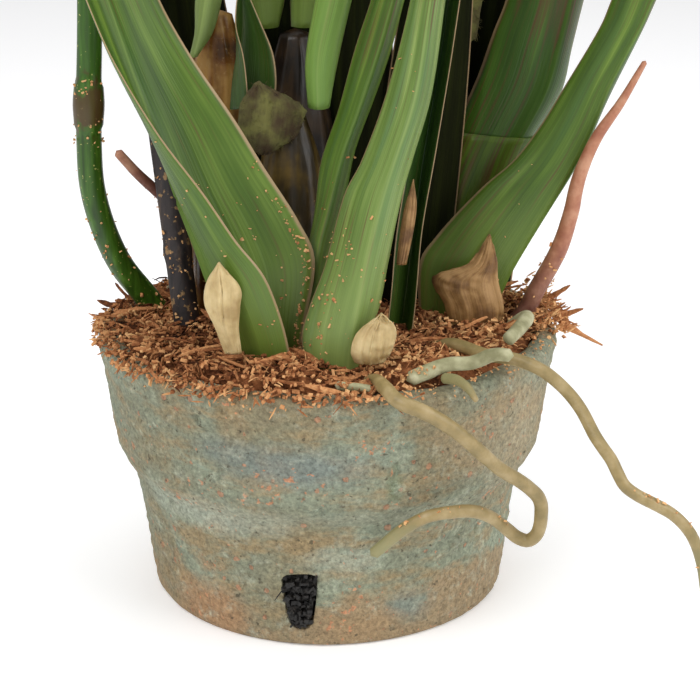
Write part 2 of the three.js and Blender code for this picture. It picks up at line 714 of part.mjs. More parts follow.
/** A flower or bud stalk that runs out and up from the spike to the origin of what it carries. */
const pedicel = (reach, clearance) => stalk(
  [[clearance - reach, 0, -0.42 * reach], [-0.5 * reach, 0, -0.16 * reach], [-2, 0, 0]].map(v3),
  () => 1.7,
  { steps: 4, sides: 5 },
);

/** Joins parts into one closed piece. */
const joined = (parts) => geometryOf(parts.map(solid).reduce((whole, part) => whole.add(part)));

/** Hangs a piece on the spike at a height, facing `heading` degrees, `reach` out from the axis. */
function hang(mesh, height, heading, reach) {
  const foot = spikeAt(height);
  const outward = new THREE.Vector3(Math.cos(radians(heading)), Math.sin(radians(heading)), 0);
  mesh.position.copy(foot).addScaledVector(outward, reach).addScaledVector(UP, 0.42 * reach);
  mesh.rotation.z = radians(heading);
}

const SPIKE_CLEARANCE = 5.4;
const flowerGeometry = joined([...flowerParts, pedicel(PEDICEL, SPIKE_CLEARANCE)]);
for (let k = 0; k < FLOWER_COUNT; k++) {
  const heading = -90 + FLOWER_FAN * ((k % 3) - 1) + 3 * Math.sin(5 * k + 1);
  const flower = add(`flower_${k + 1}`, flowerGeometry.clone(), materials.petal);
  hang(flower, FLOWER_FIRST + FLOWER_PITCH * k, heading, PEDICEL);
}

const budProfile = [[0, -9], [3, -7], [5, -1], [4.6, 5], [2.6, 10], [0, 12]];
for (let k = 0; k < BUD_COUNT; k++) {
  const reach = 21 - 3 * k;
  const egg = lathe(budProfile, 10).rotateY(radians(75)).scale(1 - 0.12 * k, 1 - 0.12 * k, 1 - 0.12 * k);
  const bud = add(`bud_${k + 1}`, joined([egg, pedicel(reach, SPIKE_CLEARANCE - 0.6)]), materials.bud);
  const height = FLOWER_FIRST + FLOWER_PITCH * FLOWER_COUNT - 2 + 12 * k;
  hang(bud, height, -90 + FLOWER_FAN * ((k % 3) - 1), reach);
}

export default plant;
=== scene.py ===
"""A potted cymbidium orchid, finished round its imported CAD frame: metres, +Z up, the front faces -Y."""

import math
import random
from bisect import bisect_right

import bmesh
import bpy
from mathutils import Matrix, Vector, noise


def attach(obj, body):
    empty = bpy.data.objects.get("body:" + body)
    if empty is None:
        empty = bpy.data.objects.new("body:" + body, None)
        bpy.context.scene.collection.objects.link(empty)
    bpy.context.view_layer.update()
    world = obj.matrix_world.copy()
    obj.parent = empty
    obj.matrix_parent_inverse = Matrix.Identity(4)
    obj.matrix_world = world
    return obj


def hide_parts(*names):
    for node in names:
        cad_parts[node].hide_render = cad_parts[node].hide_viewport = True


MM = 0.001
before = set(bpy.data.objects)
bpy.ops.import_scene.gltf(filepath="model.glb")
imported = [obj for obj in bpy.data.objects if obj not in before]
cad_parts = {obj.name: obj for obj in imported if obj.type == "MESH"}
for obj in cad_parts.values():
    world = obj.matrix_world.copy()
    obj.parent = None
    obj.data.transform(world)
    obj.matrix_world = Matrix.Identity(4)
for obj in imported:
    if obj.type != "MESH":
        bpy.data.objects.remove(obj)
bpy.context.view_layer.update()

# ---- Studio ------------------------------------------------------------------------------------
# A pale sheet of paper, lit from below as well as by soft boxes: one high at the left front, one
# at the right and one overhead, in a pale surround. The camera looks down on the pot from arm's length.

CAMERA_SPOT = Vector((7.6, -600, 288)) * MM
CAMERA_TILT = 19.2
CAMERA_LENS = 98.4
SURROUND_LIGHT, SURROUND_SEEN = 0.53, 0.6

camera_data = bpy.data.cameras.new("studio_camera")
camera_data.lens = CAMERA_LENS
camera_data.sensor_width = 36
camera_data.clip_start = 0.01
camera = bpy.data.objects.new("studio_camera", camera_data)
camera.location = CAMERA_SPOT
camera.rotation_euler = (math.radians(90 - CAMERA_TILT), 0, 0)
bpy.context.scene.collection.objects.link(camera)
bpy.context.scene.camera = camera

SOFT_BOXES = {
    "key_box": ((-0.6, -0.75, 1.1), 0.8, 9),
    "fill_box": ((0.95, -0.5, 0.7), 0.9, 7.5),
    "top_box": ((0.1, 0.35, 1.35), 0.9, 5),
}
for name, (spot, size, power) in SOFT_BOXES.items():
    light = bpy.data.lights.new(name, "AREA")
    light.size = size
    light.energy = power
    lamp = bpy.data.objects.new(name, light)
    lamp.location = spot
    lamp.rotation_euler = (Vector((0, 0, 0.12)) - lamp.location).to_track_quat("-Z", "Y").to_euler()
    bpy.context.scene.collection.objects.link(lamp)

world = bpy.data.worlds.new("white_surround")
bpy.context.scene.world = world
world.use_nodes = True
world.node_tree.nodes["Background"].inputs["Color"].default_value = (1, 1, 1, 1)
world.node_tree.nodes["Background"].inputs["Strength"].default_value = SURROUND_LIGHT
seen = world.node_tree.nodes.new("ShaderNodeLightPath")
lift = world.node_tree.nodes.new("ShaderNodeMath")
lift.operation = "MULTIPLY_ADD"
lift.inputs[1].default_value = SURROUND_SEEN
lift.inputs[2].default_value = SURROUND_LIGHT
world.node_tree.links.new(seen.outputs["Is Camera Ray"], lift.inputs[0])
world.node_tree.links.new(lift.outputs[0], world.node_tree.nodes["Background"].inputs["Strength"])
bpy.context.scene.view_settings.view_transform = "Standard"


def paint(code):
    """An sRGB hex colour as linear RGBA."""
    channels = [int(code[i : i + 2], 16) / 255 for i in (1, 3, 5)]
    linear = [c / 12.92 if c <= 0.04045 else ((c + 0.055) / 1.055) ** 2.4 for c in channels]
    return (*linear, 1.0)


def add(tree, kind, inputs=None, ramp=None, **settings):
    """Adds a shader node. `inputs` holds values or (node, output) links, `ramp` (place, colour) stops."""
    made = tree.nodes.new(kind)
    for setting, value in settings.items():
        setattr(made, setting, value)
    for socket, value in (inputs or {}).items():
        if isinstance(value, tuple) and isinstance(value[0], bpy.types.Node):
            tree.links.new(value[0].outputs[value[1]], made.inputs[socket])
        else:
            made.inputs[socket].default_value = value
    if ramp:
        stops = made.color_ramp.elements
        stops.remove(stops[-1])
        stops[0].position, stops[0].color = ramp[0]
        for place, colour in ramp[1:]:
            stops.new(place).color = colour
    return made


def begin_material(name):
    """A new material and its emptied node tree."""
    material = bpy.data.materials.new(name)
    material.use_nodes = True
    material.node_tree.nodes.clear()
    return material, material.node_tree


def close_material(tree, shader):
    """Joins the finished shader to the material's output."""
    add(tree, "ShaderNodeOutputMaterial", {"Surface": (shader, "BSDF")})


# Matt white paper, so the pot's soft shadow shows and nothing else does.
paper, tree = begin_material("white_paper")
sheet = add(tree, "ShaderNodeBsdfPrincipled", {
    "Base Color": paint("#fbfbfc"), "Roughness": 0.9,
    "Emission Color": paint("#ffffff"), "Emission Strength": 0.17})
close_material(tree, sheet)
bpy.ops.object.select_all(action="DESELECT")
bpy.ops.mesh.primitive_plane_add(size=60, location=(0, 0, 0))
floor = bpy.context.object
floor.name = "floor"
floor.data.materials.append(paper)

# ---- Pot ---------------------------------------------------------------------------------------
# Thick terracotta thrown by hand on a wheel: a deep collar steps in softly to a tapered foot, and
# three drain slots are cut low in the wall. Old green-grey and turquoise wash is rubbed over it.

POT_FLOOR = 12
POT_OUTER = [
    (57.2, 0), (58.4, 0.9), (58.9, 2.4), (60.7, 16), (62, 28), (63.6, 38), (64.5, 43), (66, 46.2),
    (68.6, 50), (70.3, 55.5), (71.5, 64), (73.3, 78), (74.7, 85), (74.6, 87.6), (73.2, 89),
    (70.8, 89.4), (68.6, 89), (67.2, 87.4), (66.6, 84),
]
POT_INNER = [(66.6, 84), (64, 60), (58, 46), (55, 14), (53, POT_FLOOR)]
SLOT_HEADINGS = (-98, 22, 142)


def along(knots, values, t):
    """The value at `t` on a smooth curve that passes each of `values` at its rising knot."""
    last = len(knots) - 1
    i = max(0, min(bisect_right(knots, t) - 1, last - 1))
    span = knots[i + 1] - knots[i]
    u = min(max((t - knots[i]) / span, 0.0), 1.0)

    def slope(j):
        before, after = max(j - 1, 0), min(j + 1, last)
        return (values[after] - values[before]) * (span / (knots[after] - knots[before]))

    start, end = slope(i), slope(i + 1)
    return (
        values[i] * (2 * u**3 - 3 * u**2 + 1)
        + start * (u**3 - 2 * u**2 + u)
        + values[i + 1] * (3 * u**2 - 2 * u**3)
        + end * (u**3 - u**2)
    )


def knots_of(points):
    """How far along a line of points each one lies."""
    knots = [0.0]
    for before, after in zip(points, points[1:]):
        knots.append(knots[-1] + max((after - before).length, 1e-6))
    return knots


def resampled(points, spacing):
    """A smooth line through `points`, with a point about every `spacing`."""
    knots = knots_of(points)
    count = max(2, round(knots[-1] / spacing))
    return [along(knots, points, knots[-1] * k / count) for k in range(count + 1)]


def mesh_piece(name, points, faces, smooth=True):
    """A new mesh object with its place in its mesh."""
    mesh = bpy.data.meshes.new(name)
    mesh.from_pydata([tuple(p) for p in points], [], faces)
    mesh.validate()
    piece = bpy.data.objects.new(name, mesh)
    bpy.context.scene.collection.objects.link(piece)
    if smooth:
        mesh.polygons.foreach_set("use_smooth", [True] * len(mesh.polygons))
    return piece


def only(piece):
    """Selects one object and nothing else, for the operators that follow."""
    bpy.ops.object.select_all(action="DESELECT")
    piece.select_set(True)
    bpy.context.view_layer.objects.active = piece


def belongs(piece, slot, *nodes):
    """Ties a finished piece to the plant's one body and hides its CAD nodes; `slot` is not used."""
    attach(piece, "root")
    if nodes:
        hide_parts(*nodes)


outer = resampled([Vector((r, 0, z)) * MM for r, z in POT_OUTER], 1.05 * MM)
inner = resampled([Vector((r, 0, z)) * MM for r, z in POT_INNER], 6 * MM)
outline = [Vector((0, 0, 0)), Vector((30, 0, 0)) * MM, *outer, *inner[1:], Vector((0, 0, POT_FLOOR * MM))]
pot_mesh = bpy.data.meshes.new("pot_wall")
pot_mesh.from_pydata([tuple(p) for p in outline], [(i, i + 1) for i in range(len(outline) - 1)], [])
pot = bpy.data.objects.new("pot_wall", pot_mesh)
bpy.context.scene.collection.objects.link(pot)
only(pot)
bpy.ops.object.mode_set(mode="EDIT")
bpy.ops.mesh.select_all(action="SELECT")
bpy.ops.mesh.spin(steps=380, angle=2 * math.pi, center=(0, 0, 0), axis=(0, 0, 1))
bpy.ops.mesh.select_all(action="SELECT")
bpy.ops.mesh.remove_doubles(threshold=0.01 * MM)
bpy.ops.mesh.normals_make_consistent(inside=False)
bpy.ops.object.mode_set(mode="OBJECT")

SLOT_OUTLINE = [
    (-5.6, 23.5), (-3.4, 9), (-1.4, 6.6), (2.2, 6.4), (4.4, 10), (5.9, 25), (4.4, 26.2), (-4, 25.6),
]
for heading in SLOT_HEADINGS:
    turn = Matrix.Rotation(math.radians(heading + 90), 4, "Z")
    ring = resampled([Vector((x, 0, z)) * MM for x, z in SLOT_OUTLINE + SLOT_OUTLINE[:1]], 1.5 * MM)[:-1]
    count = len(ring)
    bar = [turn @ (p + Vector((0, -depth * MM, 0))) for depth in (49, 72) for p in ring]
    sides = [(i, (i + 1) % count, (i + 1) % count + count, i + count) for i in range(count)]
    ends = [tuple(range(count))[::-1], tuple(range(count, 2 * count))]
    cutter = mesh_piece("slot_cutter", bar, sides + ends)
    only(cutter)
    bpy.ops.object.mode_set(mode="EDIT")
    bpy.ops.mesh.select_all(action="SELECT")
    bpy.ops.mesh.normals_make_consistent(inside=False)
    bpy.ops.object.mode_set(mode="OBJECT")
    only(pot)
    cut = pot.modifiers.new("slot", "BOOLEAN")
    cut.operation, cut.object, cut.solver = "DIFFERENCE", cutter, "EXACT"
    bpy.ops.object.modifier_apply(modifier=cut.name)
    bpy.data.objects.remove(cutter)


def grain(place, size, seed=0.0):
    """Smooth noise from about -1 to 1 whose lumps are about `size` millimetres across."""
    return noise.noise(place * (1000 / size) + Vector((seed, 2 * seed, 0)))


def throwing_marks(place):
    """How far the pot's skin stands out from true at a place, in millimetres."""
    radius = math.hypot(place.x, place.y)
    z = place.z / MM
    on_wall = min(1.0, max(0.0, (radius / MM - 56) / 3))
    swell = 0.9 * grain(place, 70) + 0.35 * grain(place, 26, 3)
    bulge = 0.9 * max(0.0, place.x / radius) * math.exp(-(((z - 58) / 26) ** 2))
    ridges = 0.16 * math.sin(z * 1.1 + 3 * grain(place, 60, 5)) + 0.12 * grain(Vector((0, 0, place.z)), 3)
    lumps = 0.35 * grain(place, 9, 1) + 0.3 * grain(place, 4.2, 2) + 0.16 * grain(place, 1.9, 8)
    pit = max(0.0, grain(place, 3.4, 7) - 0.36) * 3.4 * (0.5 + max(0.0, grain(place, 30, 9)))
    crust = max(0.0, grain(place, 5, 11) - 0.1) * 1.3 * math.exp(-(((z - 46) / 4.5) ** 2))
    return on_wall * (swell + bulge + ridges + lumps - pit + crust)


for vertex in pot.data.vertices:
    place = vertex.co.copy()
    radius = math.hypot(place.x, place.y)
    if place.z > 0.5 * MM and radius > 56 * MM:
        out = Vector((place.x, place.y, 0)) / radius
        vertex.co += out * throwing_marks(place) * MM
    if place.z > 86 * MM:
        angle = math.atan2(place.y, place.x)
        worn = 0.9 * math.exp(-(((angle + 0.95) / 0.35) ** 2))
        vertex.co.z += (0.55 * grain(place, 24, 4) + 0.25 * grain(place, 6, 6) - worn) * MM
pot.data.polygons.foreach_set("use_smooth", [True] * len(pot.data.polygons))

# Unglazed terracotta, fired at a low heat and wiped with lime and copper washes: dead matt and
# open-pored, so the clay shows through in specks and the wash gathers in the hollows.
terracotta, tree = begin_material("washed_terracotta")
place = add(tree, "ShaderNodeTexCoord")
height = add(tree, "ShaderNodeSeparateXYZ", {0: (place, "Object")})
broad = add(tree, "ShaderNodeTexNoise", {
    "Vector": (place, "Object"), "Scale": 24, "Detail": 4, "Distortion": 0.6})
wash = add(tree, "ShaderNodeValToRGB", {"Fac": (broad, "Fac")}, ramp=[
    (0.28, paint("#968667")), (0.4, paint("#8f886b")), (0.48, paint("#8a8b73")),
    (0.56, paint("#8f957e")), (0.66, paint("#969d86")), (0.75, paint("#919f8d")),
])
stretch = add(tree, "ShaderNodeMapping", {"Vector": (place, "Object"), "Scale": (1, 1, 2.6)})
bands = add(tree, "ShaderNodeTexNoise", {
    "Vector": (stretch, 0), "Scale": 42, "Detail": 5, "Roughness": 0.65})
olive_mask = add(tree, "ShaderNodeMapRange", {
    "Value": (bands, "Fac"), "From Min": 0.47, "From Max": 0.63, "To Min": 0.0, "To Max": 0.85})
olive = add(tree, "ShaderNodeMix", {
    0: (olive_mask, 0), 6: (wash, "Color"), 7: paint("#a08a64")}, data_type="RGBA")
teal_noise = add(tree, "ShaderNodeTexNoise", {
    "Vector": (stretch, 0), "Scale": 33, "Detail": 6, "Roughness": 0.7, "Distortion": 0.8})
teal_mask = add(tree, "ShaderNodeMapRange", {
    "Value": (teal_noise, "Fac"), "From Min": 0.56, "From Max": 0.68, "To Min": 0.0, "To Max": 0.35})
teal = add(tree, "ShaderNodeMix", {
    0: (teal_mask, 0), 6: (olive, 2), 7: paint("#86a091")}, data_type="RGBA")

# Bare clay where the foot has rubbed, ragged at its edge.
rag = add(tree, "ShaderNodeTexNoise", {
    "Vector": (place, "Object"), "Scale": 30, "Detail": 5, "Roughness": 0.6})
foot_line = add(tree, "ShaderNodeMath", {0: (height, "Z"), 1: -0.001}, operation="ADD")
foot_reach = add(tree, "ShaderNodeMath", {0: (rag, "Fac"), 1: 0.085, 2: -0.031}, operation="MULTIPLY_ADD")
foot_gap = add(tree, "ShaderNodeMath", {0: (foot_reach, 0), 1: (foot_line, 0)}, operation="SUBTRACT")
foot_mask = add(tree, "ShaderNodeMapRange", {
    "Value": (foot_gap, 0), "From Min": -0.002, "From Max": 0.003, "To Min": 0.0, "To Max": 0.85})
foot = add(tree, "ShaderNodeMix", {
    0: (foot_mask, 0), 6: (teal, 2), 7: paint("#a38c6a")}, data_type="RGBA")


def round_patch(tree, place, centre, size, soft, noise_node, ragged):
    """A mask, 1 inside a ragged round patch of the given half sizes in millimetres and 0 outside."""
    moved = add(tree, "ShaderNodeMapping", {
        "Vector": (place, "Object"),
        "Location": tuple(-c / s for c, s in zip(centre, size)),
        "Scale": tuple(1000 / s for s in size),
    })
    reach = add(tree, "ShaderNodeVectorMath", {0: (moved, 0)}, operation="LENGTH")
    frayed = add(tree, "ShaderNodeMath", {0: (noise_node, "Fac"), 1: ragged, 2: (reach, "Value")},
                 operation="MULTIPLY_ADD")
    return add(tree, "ShaderNodeMapRange", {
        "Value": (frayed, 0), "From Min": 1 + ragged / 2 + soft, "From Max": 1 + ragged / 2 - soft,
        "To Min": 0.0, "To Max": 1.0})


PATCHES = [
    ((-10, -70, 66), (21, 14, 6.5), 0.5, 1.2, "#7b8580", 0.75),
    ((-30, -64, 70), (11, 14, 4), 0.4, 1.2, "#7f8b82", 0.6),
    ((21, -64, 59), (2.5, 9, 6), 0.5, 1.2, "#5f7c62", 0.7),
    ((26, -56, 12), (7, 12, 6), 0.5, 1.4, "#828b84", 0.55),
    ((-40, -58, 44), (26, 30, 5.5), 0.5, 1.6, "#b8bfae", 0.55),
    ((6, -66, 31), (11, 20, 4.5), 0.5, 1.6, "#b3bba8", 0.5),
    ((0, -66, 47), (70, 70, 2.6), 0.6, 1.8, "#9fa08a", 0.5),
    ((14, -62, 6), (14, 12, 6), 0.3, 1.0, "#a98d68", 0.7),
    ((-38, -48, 8), (15, 16, 9), 0.4, 1.2, "#b38a63", 0.7),
    ((60, -42, 68), (22, 26, 15), 0.6, 1.6, "#b3a384", 0.55),
]
frays = add(tree, "ShaderNodeTexNoise", {
    "Vector": (place, "Object"), "Scale": 95, "Detail": 5, "Roughness": 0.7})
coat = foot
for centre, size, soft, ragged, colour, strength in PATCHES:
    mask = round_patch(tree, place, centre, size, soft, frays, ragged)
    share = add(tree, "ShaderNodeMath", {0: (mask, 0), 1: strength}, operation="MULTIPLY")
    coat = add(tree, "ShaderNodeMix", {0: (share, 0), 6: (coat, 2), 7: paint(colour)}, data_type="RGBA")

# Salmon clay specks 1 to 3 mm across, dark pores, and a thin chalky bloom.
speck_noise = add(tree, "ShaderNodeTexNoise", {
    "Vector": (place, "Object"), "Scale": 460, "Detail": 3, "Roughness": 0.55})
speck_zone = add(tree, "ShaderNodeTexNoise", {"Vector": (place, "Object"), "Scale": 60, "Detail": 2})
speck_sum = add(tree, "ShaderNodeMath", {0: (speck_zone, "Fac"), 1: 0.5, 2: (speck_noise, "Fac")},
                operation="MULTIPLY_ADD")
speck_mask = add(tree, "ShaderNodeMapRange", {
    "Value": (speck_sum, 0), "From Min": 0.94, "From Max": 0.98, "To Min": 0.0, "To Max": 0.85})
specks = add(tree, "ShaderNodeMix", {
    0: (speck_mask, 0), 6: (coat, 2), 7: paint("#cf8f68")}, data_type="RGBA")
fray_push = add(tree, "ShaderNodeVectorMath", {
    0: (frays, "Color"), 1: (0.004, 0.004, 0.004), 2: (place, "Object")}, operation="MULTIPLY_ADD")
clay_chips = add(tree, "ShaderNodeTexVoronoi", {"Vector": (fray_push, 0), "Scale": 235})
chip_kind = add(tree, "ShaderNodeSeparateColor", {0: (clay_chips, "Color")})
chip_size = add(tree, "ShaderNodeMapRange", {
    "Value": (chip_kind, 0), "From Min": 0.55, "From Max": 1.0, "To Min": 0.0, "To Max": 0.3})
chip_gap = add(tree, "ShaderNodeMath", {0: (chip_size, 0), 1: (clay_chips, "Distance")},
               operation="SUBTRACT")
chip_mask = add(tree, "ShaderNodeMapRange", {
    "Value": (chip_gap, 0), "From Min": 0.0, "From Max": 0.05, "To Min": 0.0, "To Max": 0.7})
specks = add(tree, "ShaderNodeMix", {
    0: (chip_mask, 0), 6: (specks, 2), 7: paint("#c08866")}, data_type="RGBA")
pore_noise = add(tree, "ShaderNodeTexNoise", {
    "Vector": (place, "Object"), "Scale": 410, "Detail": 3, "Roughness": 0.6})
pore_mask = add(tree, "ShaderNodeMapRange", {
    "Value": (pore_noise, "Fac"), "From Min": 0.36, "From Max": 0.3, "To Min": 0.0, "To Max": 0.75})
pores = add(tree, "ShaderNodeMix", {
    0: (pore_mask, 0), 6: (specks, 2), 7: paint("#4b4433")}, data_type="RGBA")
bloom_noise = add(tree, "ShaderNodeTexNoise", {
    "Vector": (place, "Object"), "Scale": 150, "Detail": 6, "Roughness": 0.75})
bloom_mask = add(tree, "ShaderNodeMapRange", {
    "Value": (bloom_noise, "Fac"), "From Min": 0.54, "From Max": 0.72, "To Min": 0.0, "To Max": 0.7})
bloom = add(tree, "ShaderNodeMix", {
    0: (bloom_mask, 0), 6: (pores, 2), 7: paint("#bcbfa9")}, data_type="RGBA")
mottle = add(tree, "ShaderNodeTexNoise", {
    "Vector": (place, "Object"), "Scale": 700, "Detail": 3, "Roughness": 0.7})
mottle_shade = add(tree, "ShaderNodeMapRange", {
    "Value": (mottle, "Fac"), "From Min": 0.3, "From Max": 0.7, "To Min": 0.55, "To Max": 1.2})
clay = add(tree, "ShaderNodeVectorMath", {0: (bloom, 2), "Scale": (mottle_shade, 0)}, operation="SCALE")
relief = add(tree, "ShaderNodeMath", {0: (mottle, "Fac"), 1: 0.35, 2: (pore_noise, "Fac")},
             operation="MULTIPLY_ADD")
fine_bump = add(tree, "ShaderNodeBump", {"Height": (relief, 0), "Strength": 0.8, "Distance": 0.0018})
crags = add(tree, "ShaderNodeTexNoise", {
    "Vector": (place, "Object"), "Scale": 210, "Detail": 5, "Roughness": 0.6, "Distortion": 0.5})
crag_height = add(tree, "ShaderNodeMath", {0: (chip_mask, 0), 1: 0.35, 2: (crags, "Fac")},
                  operation="MULTIPLY_ADD")
bump = add(tree, "ShaderNodeBump", {
    "Height": (crag_height, 0), "Strength": 0.8, "Distance": 0.0024, "Normal": (fine_bump, 0)})
shader = add(tree, "ShaderNodeBsdfPrincipled", {
    "Base Color": (clay, 0), "Roughness": 0.88, "Normal": (bump, 0)})
close_material(tree, shader)
pot.data.materials.append(terracotta)
belongs(pot, "terracotta", "pot")

# ---- Growing medium ----------------------------------------------------------------------------
# Black peat and bark that fills the pot; it shows in the drain slots as damp lumps and root hairs.

# Damp peat: near-black and rough, with a faint wet glint on its grains.
peat, tree = begin_material("damp_peat")
place = add(tree, "ShaderNodeTexCoord")
grit = add(tree, "ShaderNodeTexNoise", {"Vector": (place, "Object"), "Scale": 600, "Detail": 4})
soil = add(tree, "ShaderNodeValToRGB", {"Fac": (grit, "Fac")}, ramp=[
    (0.35, paint("#0d0c0b")), (0.6, paint("#1e1a17")), (0.75, paint("#3a332c"))])
bump = add(tree, "ShaderNodeBump", {"Height": (grit, "Fac"), "Strength": 0.9, "Distance": 0.001})
shader = add(tree, "ShaderNodeBsdfPrincipled", {
    "Base Color": (soil, "Color"), "Roughness": 0.6, "Normal": (bump, 0)})
close_material(tree, shader)
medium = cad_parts["growing_medium"]
medium.data.materials.clear()
medium.data.materials.append(peat)


def chunk(points, faces, centre, size, turn, rng):
    """Appends one lumpy bit: a box of eight jittered corners with its ends pinched."""
    start = len(points)
    for sx in (-1, 1):
        for sy in (-1, 1):
            for sz in (-1, 1):
                pinch = rng.uniform(0.45, 1.0)
                corner = Vector((sx * size[0], sy * size[1] * pinch, sz * size[2] * pinch)) / 2
                corner.x *= rng.uniform(0.75, 1.1)
                points.append(centre + turn @ corner)
    for face in ((0, 1, 3, 2), (4, 6, 7, 5), (0, 4, 5, 1), (2, 3, 7, 6), (0, 2, 6, 4), (1, 5, 7, 3)):
        faces.append(tuple(start + i for i in face))


def strand(points, faces, line, radius):
    """Appends one thin three-sided fibre along a line of points, drawn out to a point at each end."""
    start = len(points)
    last = len(line) - 1
    for k, spot in enumerate(line):
        heading = (line[min(k + 1, last)] - line[max(k - 1, 0)]).normalized()
        side = heading.orthogonal().normalized()
        up = heading.cross(side)
        thick = radius * (0.35 if k in (0, last) else 1.0)
        for i in range(3):
            angle = 2 * math.pi * i / 3
            points.append(spot + (side * math.cos(angle) + up * math.sin(angle)) * thick)
    for k in range(last):
        for i in range(3):
            j = (i + 1) % 3
            row = start + 3 * k
            faces.append((row + i, row + j, row + 3 + j, row + 3 + i))
    faces.append((start + 2, start + 1, start))
    faces.append((start + 3 * last, start + 3 * last + 1, start + 3 * last + 2))


rng = random.Random(11)
points, faces = [], []
for heading in SLOT_HEADINGS:
    turn = Matrix.Rotation(math.radians(heading + 90), 4, "Z")
    for _ in range(170):
        z = rng.uniform(7.5, 25.8)
        half = 2.4 + 3.6 * (z - 7) / 18
        spot = turn @ (Vector((rng.uniform(-half, half) + 0.3, -rng.uniform(57.5, 61.2), z)) * MM)
        size = [rng.uniform(1, 3.4) * MM, rng.uniform(0.8, 2.2) * MM, rng.uniform(0.8, 2) * MM]
        chunk(points, faces, spot, size, Matrix.Rotation(rng.uniform(0, 6.3), 3, Vector(
            (rng.uniform(-1, 1), rng.uniform(-1, 1), rng.uniform(-1, 1)))), rng)
    for _ in range(16):
        z = rng.uniform(9, 25)
        spot = Vector((rng.uniform(-4, 4), -57, z))
        lean = Vector((rng.uniform(-0.5, 0.5), -1, rng.uniform(-0.3, 0.7)))
        reach = rng.uniform(3, 9) + (4 if heading == 22 else 0)
        sag = Vector((0, 0, -3))
        line = [turn @ ((spot + lean * reach * t + sag * t * t) * MM) for t in (0, 0.3, 0.6, 0.85, 1)]
        strand(points, faces, line, rng.uniform(0.14, 0.3) * MM)
crumbs = mesh_piece("peat_lumps", points, faces, smooth=False)
crumbs.data.materials.append(peat)
belongs(crumbs, "medium")

# ---- Pseudobulbs -------------------------------------------------------------------------------
# Swollen stems as big as a thumb, with a waxy brown skin that shrinks onto lengthwise ribs.


def rings_of(node):
    """A CAD node's cross-sections from its foot on, their points in matching order, and its far end."""
    shell = bmesh.new()
    shell.from_mesh(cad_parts[node].data)
    bmesh.ops.remove_doubles(shell, verts=shell.verts, dist=1e-5)
    ends = sorted(shell.verts, key=lambda v: -len(v.link_edges))[:2]
    ends.sort(key=lambda v: math.hypot(v.co.x, v.co.y) + (3 * v.co.z if v.co.z > 0 else 0))
    level = {ends[0]: 0}
    front = [ends[0]]
    rows = []
    while front:
        following = []
        for vertex in front:
            for edge in vertex.link_edges:
                other = edge.other_vert(vertex)
                if other not in level:
                    level[other] = level[vertex] + 1
                    following.append(other)
        if following:
            rows.append(following)
        front = following
    rings = []
    for row in rows[:-1]:
        ordered = [row[0]]
        while len(ordered) < len(row):
            beside = [e.other_vert(ordered[-1]) for e in ordered[-1].link_edges]
            ordered.append(next(v for v in beside if v in row and v not in ordered))
        ring = [v.co.copy() for v in ordered]
        if rings:
            count = len(ring)
            turns = [ring[s:] + ring[:s] for s in range(count)]
            turns += [list(reversed(t)) for t in turns]
            ring = min(turns, key=lambda t: sum((a - b).length for a, b in zip(t, rings[-1])))
        rings.append(ring)
    point = ends[1].co.copy()
    shell.free()
    return rings, point


def stem_of(node):
    """The centre line of a round CAD node and the radius at each of its rings."""
    rings, _ = rings_of(node)
    centres = [sum(ring, Vector()) / len(ring) for ring in rings]
    radii = [sum((p - c).length for p in ring) / len(ring) for ring, c in zip(rings, centres)]
    return centres, radii


def sweep(name, centres, radii, sides, spacing, skin=None, cap=0.6):
    """A round piece along a smooth line, with a UV map that runs round it and, in metres, along it.

    `skin(t, angle, radius, length)` returns the radius to use where the surface isn't plain."""
    knots = knots_of(centres)
    length = knots[-1]
    count = max(2, round(length / spacing))
    points, faces, marks = [], [], []
    side = None
    for k in range(count + 1):
        t = length * k / count
        centre = along(knots, centres, t)
        ahead = along(knots, centres, min(t + 0.4 * spacing, length))
        behind = along(knots, centres, max(t - 0.4 * spacing, 0))
        heading = (ahead - behind).normalized()
        side = heading.orthogonal() if side is None else side - heading * side.dot(heading)
        side.normalize()
        up = heading.cross(side)
        radius = along(knots, radii, t)
        for i in range(sides):
            angle = 2 * math.pi * i / sides
            reach = skin(t, angle, radius, length) if skin else radius
            points.append(centre + (side * math.cos(angle) + up * math.sin(angle)) * reach)
            marks.append((i / sides, t))
        if k == 0:
            foot = centre - heading * radius * cap
    tip = centre + heading * radius * cap
    for k in range(count):
        for i in range(sides):
            j = (i + 1) % sides
            faces.append((k * sides + i, k * sides + j, (k + 1) * sides + j, (k + 1) * sides + i))
    points += [foot, tip]
    marks += [(0.5, 0.0), (0.5, length)]
    low, high = len(points) - 2, len(points) - 1
    for i in range(sides):
        j = (i + 1) % sides
        faces.append((low, j, i))
        faces.append((high, count * sides + i, count * sides + j))
    piece = mesh_piece(name, points, faces)
    sheet = piece.data.uv_layers.new(name="skin")
    for loop in piece.data.loops:
        sheet.data[loop.index].uv = marks[loop.vertex_index]
    for face in piece.data.polygons:
        around = [sheet.data[i].uv.x for i in face.loop_indices]
        if max(around) - min(around) > 0.5:
            for i in face.loop_indices:
                if sheet.data[i].uv.x < 0.5:
                    sheet.data[i].uv.x += 1
    return piece


